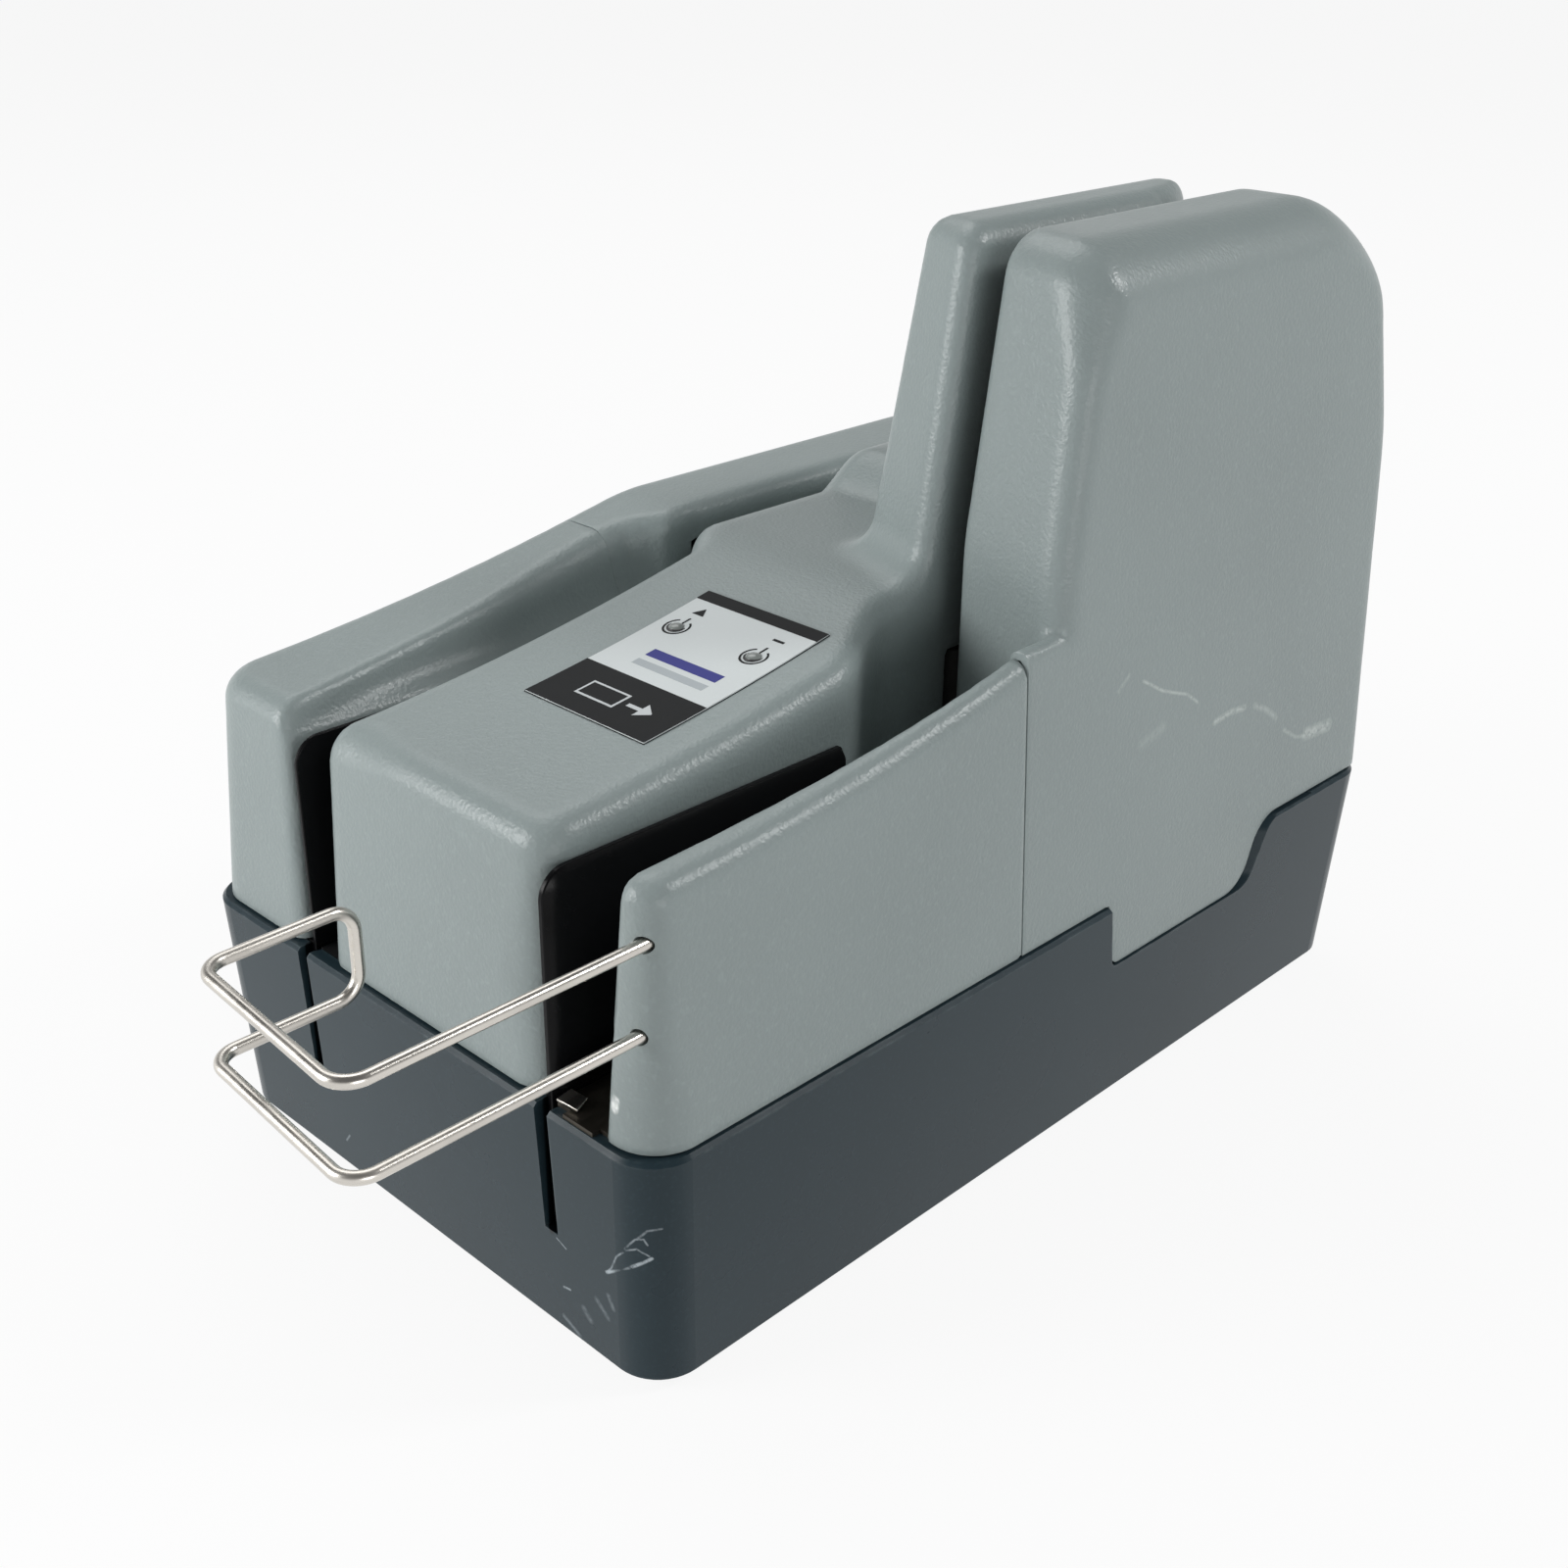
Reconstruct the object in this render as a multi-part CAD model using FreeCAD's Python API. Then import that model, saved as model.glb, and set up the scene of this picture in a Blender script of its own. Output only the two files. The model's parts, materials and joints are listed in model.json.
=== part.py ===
import FreeCAD, Part
import math
import os

# Cheque scanner: an upright document track bent round the back of the machine, a low entry side on the
# left, two tall scanning towers on the right, and a wire stop that holds the scanned slips in front.
# Millimetres. While a piece is drawn, x is across the width from the centre, y runs back from the centre
# of the housing and z rises from the underside of the base. place() then moves every piece by the same
# amount, so that the finished part stands on z = 0 with its overall box centred on x = y = 0.

# Housing
housing_width = 125.0
housing_length = 208.2
seam_height = 45.4
base_inset = 2.0
plan_radius = 8.6
base_wall = 3.0
base_bottom_bevel = 1.2
rim_bevel = 0.7
overrun = 20.0
hair = 0.1
clearance = 0.3

# Covers, common values
nose_y = -120.0
side_setback = 1.0
front_setback = 1.6
rear_setback = 0.6
cover_gap = 0.4
side_slope = 0.055
front_slope = 0.060
inner_slope = 0.045
cover_wall = 2.2
parting_y = -14.8
left_parting_y = -19.2
parting_gap = 0.4
tower_height = 165.0
cover_edge_radius = 4.5

# Document track
track_left_x = -33.5
track_right_x = 28.5
track_width = 5.0
turn_y = 62.0
deck_thickness = 2.0

# Left covers
left_inner_x = -32.0
left_front_height = 89.8
left_nose_height = 87.85
left_middle_y = -53.0
left_middle_height = 93.2
left_middle_radius = 600.0
left_parting_height = 100.9
left_crest_y = -3.5
left_rear_height = 103.1
left_crest_radius = 40.0
scoop_front_radius = 2.4
scoop_deep_radius = 8.6
scoop_end_radius = 2.4
scoop_front_y = -101.0
scoop_deep_y = -26.0
scoop_end_y = -8.0
lip_x = -37.0
lip_start_y = -8.0
lip_turn_radius = 34.5
lip_skirt_height = 96.0
swing_clearance = 0.6
rear_parting_x = 30.0

# Right front cover
right_cover_width = 10.6
right_nose_height = 89.9
right_front_height = 90.5
right_middle_y = -56.0
right_middle_height = 92.0
right_middle_radius = 420.0
right_crest_y = -10.0
right_crest_height = 102.4
right_crest_radius = 20.0
rail_wall = 1.6
rail_edge_radius = 1.9

# Centre cover
island_left_x = -23.8
island_right_x = 35.5
island_nose_height = 89.2
island_front_height = 90.5
island_middle_y = -55.0
island_middle_height = 94.05
island_middle_radius = 540.0
island_crest_y = -13.0
island_rear_height = 103.4
island_crest_radius = 30.0
island_left_radius = 4.0
island_right_radius = 6.0
island_edge_radius = 4.0
neck_start_y = -36.0
neck_end_y = -12.0
neck_radius = 12.0
shoulder_start_y = -18.0
shoulder_end_y = -4.0
shoulder_radius = 7.0
plateau_height = 110.0
plateau_y = 32.0
plateau_radius = 4.0

# Inner tower, on the centre cover
inner_tower_left_x = 5.5
inner_tower_lean = 0.157
inner_tower_skew = 0.38
inner_tower_front_y = -4.6
inner_tower_slope = 0.10
inner_tower_rear_y = 79.5
tower_foot_rise = 1.6
tower_edge_radius = 3.6

# Outer tower
tower_front_y = -1.0
tower_skew = 0.20
tower_lean = 0.155
tower_kink_drop = 53.0
tower_kink_radius = 50.0
tower_brow_radius = 8.0
tower_side_radius = 7.0
tower_gap_radius = 2.5
tower_back_top_y = 94.0
tower_back_top_radius = 25.0
tower_back_drop = 47.0
tower_back_low_radius = 60.0
tower_wall = 2.0
tower_side_wall_y = 63.4
stub_height = 102.4

# Tab of the outer tower cover, in a recess of the base
tab_front_top_y = 11.4
tab_front_low_y = 14.0
tab_low_height = 31.8
tab_rear_low_y = 58.0
tab_rear_top_y = 63.0
tab_end_y = 80.0
tab_front_radius = 2.0
tab_rear_radius = 5.0
tab_thickness = 1.6
tab_sweep = 0.9
pad_thickness = 3.0

# Hinge of the two rear covers
hinge_x = 30.0
hinge_offset = 0.75
knuckle_radius = 2.6
hinge_pin_radius = 1.3
hinge_running_gap = 0.06
knuckle_bottom_height = 36.6
knuckle_pitch = 9.2
knuckle_spacing = 0.4
hinge_leaf_width = 22.0
hinge_leaf_thickness = 1.2
hinge_pin_head = 1.4

# Wire stop
wire_radius = 1.05
wire_running_gap = 0.08
wire_inset = 5.5
wire_upper_height = 81.4
wire_lower_height = 66.4
wire_front_y = -150.5
wire_cross_rise = 2.8
wire_left_x = 18.6
wire_return_y = -122.5
wire_rear_y = -40.0
wire_bend_radius = 4.0
rib_thickness = 2.4
rib_first_y = -78.0
rib_second_y = -56.0
rib_third_y = -30.0

# Track liners, black plates beside the centre block
liner_top_height = 85.6
liner_corner_radius = 5.0
liner_front_y = -101.6
liner_foot_height = 23.0
liner_foot_length = 11.0
exit_liner_x = 35.8
exit_liner_thickness = 2.2
exit_liner_rear_y = -36.5
hopper_liner_x = -30.6
hopper_liner_thickness = 1.8
hopper_liner_rear_y = -42.0
slot_low_height = 21.0
slot_clearance = 0.5

# Exit floor plate
exit_floor_thickness = 0.8
exit_floor_rear_y = -38.0
exit_floor_tab_length = 1.6
exit_floor_tab_width = 7.0

# Guide wall round the outside of the track
guide_thickness = 1.6
guide_height = 95.0
guide_front_y = -1.0
frame_plate_front_y = 3.0
frame_plate_drop = 4.0

# Rollers, shafts and belt
drive_radius = 8.0
idler_radius = 5.0
nip_gap = 0.3
shaft_radius = 2.5
shaft_running_gap = 0.05
tyre_height = 12.0
tyre_low_height = 53.0
tyre_high_height = 76.0
feed_roller_y = 12.0
turn_roller_y = 50.0
exit_roller_y = 12.0
shaft_top_height = 92.0
shaft_bottom_height = 17.0
hub_radius = 4.6
window_margin = 1.0
window_depth = 8.0
pulley_radius = 7.0
pulley_height = 6.0
pulley_low_height = 29.0
flange_radius = 7.6
flange_thickness = 0.8
motor_pulley_radius = 4.5
motor_flange_radius = 5.1
motor_x = -2.5
motor_y = -26.0
motor_radius = 17.0
motor_height = 24.0
motor_edge_radius = 1.5
motor_shaft_radius = 1.6
motor_shaft_stub = 5.0
belt_thickness = 1.2
belt_gap = 0.3
bush_radius = 4.5
bush_height = 3.0
axle_radius = 1.5
bracket_width = 7.0
bracket_arm = 2.4
bracket_post = 3.0
bracket_reach = 7.4
axle_boss_radius = 2.4
bearing_plate_height = 21.0
bearing_plate_thickness = 1.6
standoff_radius = 3.0
standoff_left_x = -40.0
standoff_right_x = 35.5
standoff_front_y = 5.0
standoff_rear_y = 57.0
bearing_margin = 5.0

# Scanning bars and read head
bar_width = 10.0
bar_length = 12.0
bar_low_height = 50.0
bar_drop = 10.0
inner_bar_y = 33.0
outer_bar_y = 26.0
glass_length = 8.0
glass_thickness = 1.4
head_width = 9.0
head_length = 8.0
head_height = 12.0
head_low_height = 48.0
head_y = 31.0
head_stand = 0.6
cartridge_left_x = 36.0
cartridge_side_margin = 7.5
cartridge_front_y = 61.5
cartridge_rear_y = 86.0
cartridge_low_height = 48.0
cartridge_high_height = 92.0
cartridge_radius = 2.0
holder_wall = 1.6
holder_height = 26.0
nozzle_length = 5.0
nozzle_height = 8.0
nozzle_reach = 2.8

# Pad arm beside the feed roller
arm_pivot_x = -45.0
arm_pivot_y = 34.0
arm_tip_x = -36.4
arm_tip_y = 9.0
arm_low_height = 66.6
arm_height = 7.4
arm_thickness = 1.8
arm_hub_radius = 3.4
pad_length = 9.0
pad_rubber = 1.2
pad_window_length = 23.0
pad_sweep = 2.4
arm_collar_height = 5.0
arm_post_flange = 3.0

# Panel on the centre block
panel_left_x = -4.4
panel_right_x = 25.6
panel_front_y = -71.0
panel_rear_y = -28.2
panel_thickness = 0.5
lamp_radius = 1.6
lamp_y = -40.6
lamp_left_x = 0.4
lamp_right_x = 19.8
lamp_length = 8.0
lamp_stand = 0.15
lamp_collar_radius = 2.6

# Base fittings
bottom_plate_height = 0.6
bottom_plate_thickness = 1.6
boss_radius = 4.5
boss_side_inset = 11.5
boss_end_inset = 13.1
web_thickness = 2.0
screw_radius = 1.5
screw_head_radius = 2.8
screw_head_height = 1.0
screw_length = 9.0
foot_height = 1.6
foot_radius = 7.0
foot_side_inset = 16.5
foot_end_inset = 26.1
foot_edge_radius = 0.8
board_height = 9.0
board_thickness = 1.6
board_left_margin = 16.5
board_right_margin = 18.5
board_front_y = 8.0
board_post_radius = 3.0
board_post_inset = 6.0
socket_width = 12.0
socket_height = 10.0
socket_depth = 15.0
socket_recess = 1.9
usb_x = -20.0
usb_mouth_width = 8.4
usb_mouth_height = 7.6
usb_mouth_depth = 10.0
usb_tongue_width = 5.6
usb_tongue_height = 3.2
tongue_recess = 0.5
power_x = -39.0
power_bore_radius = 3.2
power_bore_depth = 9.5
power_pin_radius = 1.0
power_pin_stand = 1.5
chip_width = 14.0
chip_height = 1.8
chip_x = 6.0
chip_pitch = 24.0
chip_y = 70.0
magnet_width = 5.0
magnet_length = 4.0
magnet_height = 8.0
right_magnet_inset = 14.5
right_magnet_y = 10.0
left_magnet_inset = 7.5
left_magnet_y = -4.0

# Values that follow from the ones above
V = FreeCAD.Vector
half_width = housing_width / 2
half_length = housing_length / 2
half_track = track_width / 2
cover_low = seam_height + cover_gap
deck_low = seam_height - deck_thickness
cover_side_x = half_width - side_setback
cover_front_y = -half_length + front_setback
cover_rear_y = half_length - rear_setback
turn_x = (track_left_x + track_right_x) / 2
turn_radius = (track_right_x - track_left_x) / 2
turn_inner_radius = turn_radius - half_track
turn_outer_radius = turn_radius + half_track
block_left_x = track_left_x + half_track
block_right_x = track_right_x - half_track
outer_left_x = track_left_x - half_track
outer_right_x = track_right_x + half_track
hinge_y = cover_rear_y + hinge_offset + knuckle_radius
drive_left_x = track_left_x + nip_gap / 2 + drive_radius
drive_right_x = track_right_x - nip_gap / 2 - drive_radius
idler_left_x = track_left_x - nip_gap / 2 - idler_radius
idler_right_x = track_right_x + nip_gap / 2 + idler_radius
plate_top = bottom_plate_height + bottom_plate_thickness
board_top = board_height + board_thickness
guide_outer_radius = turn_outer_radius + guide_thickness
frame_plate_x = outer_right_x + guide_thickness
tyre_top = tyre_high_height + tyre_height
far = housing_length
right_inner_x = half_width - right_cover_width
wire_x = half_width - wire_inset
boss_x = half_width - boss_side_inset
boss_y = half_length - boss_end_inset
foot_x = half_width - foot_side_inset
foot_y = half_length - foot_end_inset
cartridge_right_x = half_width - cartridge_side_margin
right_magnet_x = half_width - right_magnet_inset
left_magnet_x = left_magnet_inset - half_width
board_left_x = board_left_margin - half_width
board_right_x = half_width - board_right_margin
tower_foot_height = island_rear_height + tower_foot_rise
tower_kink_height = tower_height - tower_kink_drop
tower_back_low_height = tower_height - tower_back_drop
frame_plate_height = tower_height - frame_plate_drop
bar_high_height = tower_height - bar_drop
front_reach = -wire_front_y + wire_radius
rear_reach = hinge_y + knuckle_radius
frame_shift = V(0, (front_reach - rear_reach) / 2, foot_height - bottom_plate_height)


def box(x0, x1, y0, y1, z0, z1):
    return Part.makeBox(x1 - x0, y1 - y0, z1 - z0, V(x0, y0, z0))


def centred_box(x, y, width, length, z0, z1):
    return box(x - width / 2, x + width / 2, y - length / 2, y + length / 2, z0, z1)


def rod(x, y, z0, z1, radius):
    return Part.makeCylinder(radius, z1 - z0, V(x, y, z0))


def rod_y(x, z, y0, y1, radius):
    return Part.makeCylinder(radius, y1 - y0, V(x, y0, z), V(0, 1, 0))


def ring(x, y, z0, z1, radius, bore):
    return rod(x, y, z0, z1, radius).cut(rod(x, y, z0 - overrun, z1 + overrun, bore))


def bent_path(points, radii, closed):
    """Wire through the points with an arc of the given radius at each corner."""
    count = len(points)
    starts = list(points)
    ends = list(points)
    edges = []
    for i in range(count):
        if radii[i] == 0:
            continue
        corner = points[i]
        back = (points[i - 1] - corner).normalize()
        ahead = (points[(i + 1) % count] - corner).normalize()
        half = back.getAngle(ahead) / 2
        reach = radii[i] / math.tan(half)
        starts[i] = corner + back * reach
        ends[i] = corner + ahead * reach
    for i in range(count):
        if radii[i] > 0:
            corner = points[i]
            toward = (starts[i] + ends[i]) / 2 - corner
            leg = (starts[i] - corner).Length
            depth = math.sqrt(radii[i] ** 2 + leg ** 2) - radii[i]
            edges.append(Part.Arc(starts[i], corner + toward.normalize() * depth, ends[i]).toShape())
        if closed or i < count - 1:
            following = starts[(i + 1) % count]
            if (following - ends[i]).Length > hair * hair:
                edges.append(Part.LineSegment(ends[i], following).toShape())
    return Part.Wire(edges)


def prism(points, radii, direction):
    return Part.Face(bent_path(points, radii, True)).extrude(direction)


def plan_prism(corners, z0, z1):
    """Upright prism on (x, y, radius) corners."""
    points = [V(x, y, z0) for x, y, radius in corners]
    return prism(points, [corner[2] for corner in corners], V(0, 0, z1 - z0))


def side_prism(corners, x0, x1, skew=0):
    """Prism along x on (y, z, radius) corners; skew carries it back in y as it runs across."""
    points = [V(x0, y, z) for y, z, radius in corners]
    width = x1 - x0
    return prism(points, [corner[2] for corner in corners], V(width, width * skew, 0))


def front_prism(corners, y0, y1):
    """Prism along y on (x, z, radius) corners."""
    points = [V(x, y0, z) for x, z, radius in corners]
    return prism(points, [corner[2] for corner in corners], V(0, y1 - y0, 0))


def middle_of(edge):
    return edge.valueAt((edge.FirstParameter + edge.LastParameter) / 2)


def crosswise(edge):
    middle = edge.tangentAt((edge.FirstParameter + edge.LastParameter) / 2)
    return abs(middle.x) > math.cos(math.radians(5))


def upright(edge):
    line = edge.tangentAt(edge.FirstParameter)
    return abs(line.z) > math.cos(math.radians(25))


def fillet(shape, radius, wanted):
    """Round the edges that the test picks by edge and middle point."""
    return shape.makeFillet(radius, [edge for edge in shape.Edges if wanted(edge, middle_of(edge))])


def plan_wire(x, front, rear, z, radius):
    points = [V(-x, front, z), V(x, front, z), V(x, rear, z), V(-x, rear, z)]
    return bent_path(points, [radius] * len(points), True)


def base_wire(z, inset):
    taper = base_inset * (seam_height - z) / seam_height + inset
    x = half_width - taper
    y = half_length - taper
    return plan_wire(x, -y, y, z, plan_radius - min(inset, base_wall))


def base_block(inset, low, high):
    """Tapered block of the base, its sides moved in by inset."""
    return Part.makeLoft([base_wire(low, inset), base_wire(high, inset)], True, True)


def cover_envelope(inset, low, high):
    """Tapered block that bounds all the covers."""
    wires = []
    for z in (low, high):
        rise = z - seam_height
        x = cover_side_x - side_slope * rise - inset
        front = cover_front_y + front_slope * rise + inset
        wires.append(plan_wire(x, front, cover_rear_y - inset, z, plan_radius - min(inset, cover_wall)))
    return Part.makeLoft(wires, True, True)


def under_profile(profile, inset, x0, x1, low):
    """Prism along x below a smooth line: a rising front part, a crest and a level rear part."""
    nose, middle, crest = profile
    corners = [(nose[0], nose[1] - inset, 0), (middle[0], middle[1] - inset, middle[2]),
               (crest[0], crest[1] - inset, crest[2]), (far, crest[1] - inset, 0), (far, low, 0),
               (nose[0], low, 0)]
    return side_prism(corners, x0, x1)


def tab_region(grow, top, x0, x1, skew):
    """Outline of the tower cover's tab, seen from the side, grown by a clearance."""
    corners = [(tab_front_top_y - grow, top, 0),
               (tab_front_top_y - grow, seam_height, 0),
               (tab_front_low_y - grow, tab_low_height - grow, tab_front_radius),
               (tab_rear_low_y + grow, tab_low_height - grow, tab_rear_radius),
               (tab_rear_top_y + grow, seam_height - grow, tab_rear_radius),
               (tab_end_y, seam_height - grow, 0),
               (tab_end_y, top, 0)]
    return side_prism(corners, x0, x1, skew)


def tab_space(grow, top, x0, x1):
    """Space of the tab: square at its front edge, slanted at its rear edge as the swing needs."""
    cut_y = (tab_front_low_y + tab_rear_low_y) / 2
    front_part = tab_region(grow, top, x0, x1, 0).common(box(x0, x1, -far, cut_y, 0, top))
    rear_part = tab_region(grow, top, x0, x1, tab_sweep).common(box(x0, x1, cut_y, far, 0, top))
    return front_part.fuse(rear_part).removeSplitter()


def corner_places():
    return [(x, y) for x in (-boss_x, boss_x) for y in (-boss_y, boss_y)]


def shaft_places():
    return [(drive_left_x, feed_roller_y), (drive_left_x, turn_roller_y),
            (drive_right_x, turn_roller_y), (drive_right_x, exit_roller_y)]


# Base

def base_housing():
    sections = [base_wire(0, base_bottom_bevel), base_wire(base_bottom_bevel, 0),
                base_wire(seam_height - rim_bevel, 0), base_wire(seam_height, rim_bevel)]
    shell = Part.makeLoft(sections, True, True)
    shell = shell.cut(base_block(base_wall, -overrun, seam_height + overrun))
    inside = base_block(hair, 0, seam_height)
    pad_x = cover_side_x - tab_thickness - clearance
    pad = box(pad_x - pad_thickness, half_width, tab_front_top_y - pad_thickness, tab_end_y,
              tab_low_height - pad_thickness, deck_low)
    shell = shell.fuse(pad.common(inside))
    for x, y in corner_places():
        boss = rod(x, y, plate_top, deck_low, boss_radius)
        web = box(min(x, 2 * x), max(x, 2 * x), y - web_thickness / 2, y + web_thickness / 2,
                  plate_top, deck_low)
        shell = shell.fuse(boss).fuse(web.common(inside))
    for x, y in corner_places():
        shell = shell.cut(rod(x, y, 0, seam_height, screw_radius))
    for x, thickness in ((hopper_liner_x, hopper_liner_thickness), (exit_liner_x, exit_liner_thickness)):
        shell = shell.cut(box(x - slot_clearance, x + thickness + slot_clearance,
                              -half_length - overrun, -half_length + overrun,
                              slot_low_height, seam_height + overrun))
    shell = shell.cut(tab_space(clearance, seam_height + overrun, pad_x, half_width + overrun))
    shell = shell.cut(box(usb_x - socket_width / 2 - clearance, usb_x + socket_width / 2 + clearance,
                          half_length - overrun, half_length + overrun,
                          board_top - clearance, board_top + socket_height + clearance))
    shell = shell.cut(box(power_x - socket_width / 2 - clearance, power_x + socket_width / 2 + clearance,
                          half_length - overrun, half_length + overrun,
                          board_top - clearance, board_top + socket_height + clearance))
    return shell.removeSplitter()


def bottom_plate():
    plate = base_block(base_wall + clearance, bottom_plate_height, plate_top)
    for x, y in corner_places():
        plate = plate.cut(rod(x, y, 0, seam_height, screw_radius + hair))
    for x, y in board_posts():
        plate = plate.fuse(rod(x, y, plate_top, board_height, board_post_radius))
    return plate.removeSplitter()


def board_posts():
    rear = half_length - base_wall - base_inset - board_post_inset
    return [(x, y) for x in (board_left_x + board_post_inset, board_right_x - board_post_inset)
            for y in (board_front_y + board_post_inset, rear)]


def bottom_screws():
    solids = []
    for x, y in corner_places():
        head = rod(x, y, bottom_plate_height - screw_head_height, bottom_plate_height, screw_head_radius)
        shank = rod(x, y, bottom_plate_height, bottom_plate_height + screw_length, screw_radius)
        solids.append(head.fuse(shank).removeSplitter())
    return Part.makeCompound(solids)


def deck_screws():
    """Screws of the deck, their heads sunk level with its top."""
    solids = []
    seat = seam_height - screw_head_height
    for x, y in corner_places():
        head = rod(x, y, seat, seam_height, screw_head_radius)
        shank = rod(x, y, seat - screw_length, seat, screw_radius)
        solids.append(head.fuse(shank).removeSplitter())
    return Part.makeCompound(solids)


def feet():
    solids = []
    for x in (-foot_x, foot_x):
        for y in (-foot_y, foot_y):
            foot = rod(x, y, bottom_plate_height - foot_height, bottom_plate_height, foot_radius)
            solids.append(fillet(foot, foot_edge_radius, lambda edge, middle: middle.z < 0))
    return Part.makeCompound(solids)


def liner_notch(x, thickness):
    return box(x - clearance, x + thickness + clearance, -far, liner_front_y + liner_foot_length + clearance,
               0, far)


def track_deck():
    deck = base_block(base_wall + clearance, deck_low, seam_height)
    for x, y in shaft_places():
        deck = deck.cut(rod(x, y, 0, far, bush_radius))
    deck = deck.cut(rod(motor_x, motor_y, 0, far, motor_flange_radius + clearance))
    for x, y in corner_places():
        deck = deck.cut(rod(x, y, 0, far, screw_radius + hair))
        deck = deck.cut(rod(x, y, seam_height - screw_head_height, far, screw_head_radius + hair))
    deck = deck.cut(liner_notch(hopper_liner_x, hopper_liner_thickness))
    deck = deck.cut(liner_notch(exit_liner_x, exit_liner_thickness))
    pad_x = cover_side_x - tab_thickness - clearance
    deck = deck.cut(box(pad_x, half_width, tab_front_top_y - pad_thickness, tab_end_y, 0, far))
    return deck


def liner(x, thickness, rear_y):
    """Upright plate with a foot that reaches down behind a slot of the base."""
    front = liner_front_y
    corners = [(front, liner_foot_height, 0), (front + liner_foot_length, liner_foot_height, 0),
               (front + liner_foot_length, seam_height, 0), (rear_y, seam_height, 0),
               (rear_y, liner_top_height, 0), (front, liner_top_height, liner_corner_radius)]
    return side_prism(corners, x, x + thickness)


def exit_floor():
    left = exit_liner_x + exit_liner_thickness + clearance
    right = right_inner_x - clearance
    top = seam_height + exit_floor_thickness
    floor = box(left, right, liner_front_y, exit_floor_rear_y, seam_height, top)
    middle = (left + right) / 2
    tab = box(middle - exit_floor_tab_width / 2, middle + exit_floor_tab_width / 2,
              liner_front_y - exit_floor_tab_length, liner_front_y, seam_height, top)
    return floor.fuse(tab).removeSplitter()


# Right front cover

def right_profile():
    return [(nose_y, right_nose_height), (right_middle_y, right_middle_height, right_middle_radius),
            (right_crest_y, right_crest_height, right_crest_radius)]


def right_front_block(inset, low):
    inner = right_inner_x + inset
    block = cover_envelope(inset, low, tower_height)
    block = block.common(under_profile(right_profile(), inset, 0, half_width + overrun, low))
    side = front_prism([(inner + inner_slope * (low - seam_height), low, 0), (far, low, 0),
                        (far, tower_height, 0),
                        (inner + inner_slope * (tower_height - seam_height), tower_height, 0)], -far, far)
    block = block.common(side)
    return block.common(box(0, far, -far, parting_y - parting_gap / 2, low, tower_height))


def round_top(block, radius, low, rear):
    """Round the top edges of a front cover, but not the line where it parts from the rear one."""
    front = cover_front_y + front_slope * (low - seam_height) + radius
    return fillet(block, radius, lambda edge, middle: middle.z > low and middle.y < rear
                  and not upright(edge) and not (crosswise(edge) and middle.y > front))


def right_front_cover():
    """Narrow cover of the exit side, with two long bores for the wire stop."""
    outer = round_top(right_front_block(0, cover_low), rail_edge_radius,
                      right_front_height - cover_edge_radius, parting_y - parting_gap)
    shell = outer.cut(right_front_block(rail_wall, cover_low - overrun))
    for y in (rib_first_y, rib_second_y, rib_third_y):
        rib = box(right_inner_x, half_width, y - rib_thickness / 2, y + rib_thickness / 2,
                  cover_low, tower_height)
        shell = shell.fuse(outer.common(rib))
    for z in (wire_upper_height, wire_lower_height):
        shell = shell.cut(rod_y(wire_x, z, -far, parting_y, wire_radius + wire_running_gap))
    return shell.removeSplitter()


# Left covers

def scoop(grow):
    """Finger hollow in the inner wall: a lying cone that opens towards the rear and closes round."""
    sections = [(scoop_front_y, left_front_height, scoop_front_radius),
                (scoop_deep_y, left_parting_height, scoop_deep_radius),
                (scoop_end_y, left_rear_height, scoop_end_radius)]
    wires = []
    for y, z, radius in sections:
        x = left_inner_x - inner_slope * (z - seam_height)
        wires.append(Part.Wire([Part.makeCircle(radius + grow, V(x, y, z), V(0, 1, 0))]))
    return Part.makeLoft(wires, True, True)


def left_profile():
    return [(nose_y, left_nose_height), (left_middle_y, left_middle_height, left_middle_radius),
            (left_crest_y, left_rear_height, left_crest_radius)]


def inner_side(inset, low):
    """Everything to the right of the sloping inner wall of the left covers."""
    inner = left_inner_x - inset
    return front_prism([(inner - inner_slope * (low - seam_height), low, 0), (far, low, 0),
                        (far, tower_height, 0),
                        (inner - inner_slope * (tower_height - seam_height), tower_height, 0)],
                       -far, lip_start_y + inset)


def left_block(inset, low):
    block = cover_envelope(inset, low, tower_height)
    block = block.common(under_profile(left_profile(), inset, -half_width - overrun, half_width, low))
    return block.cut(inner_side(inset, low)).cut(lip_space(inset, low, tower_height))


def left_front_cover():
    """Low cover beside the entry, with a finger hollow along its inner edge."""
    cut = box(-far, 0, -far, left_parting_y - parting_gap / 2, 0, far)
    outer = left_block(0, cover_low).common(cut)
    front = cover_front_y + front_slope * tower_height
    outer = fillet(outer, cover_edge_radius, lambda edge, middle: upright(edge) and middle.y < front
                   and middle.x > left_inner_x - cover_edge_radius)
    outer = round_top(outer, cover_edge_radius, left_front_height - cover_edge_radius,
                      left_parting_y - parting_gap)
    inner = left_block(cover_wall, cover_low - overrun).common(box(-far, 0, -far, left_parting_y, -far, far))
    return outer.cut(scoop(0)).cut(inner.cut(scoop(cover_wall)))


def swing_space(grow, z0, z1):
    """Space beyond the circle about the hinge that just clears the centre block as the cover opens."""
    reach = (V(turn_x, turn_y, 0) - V(hinge_x, hinge_y, 0)).Length - turn_inner_radius
    corners = [(hinge_x, hinge_y, 0), (turn_x, turn_y, 0), (far, turn_y, 0), (far, hinge_y, 0)]
    return plan_prism(corners, z0, z1).cut(rod(hinge_x, hinge_y, z0, z1, reach - swing_clearance - grow))


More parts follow.
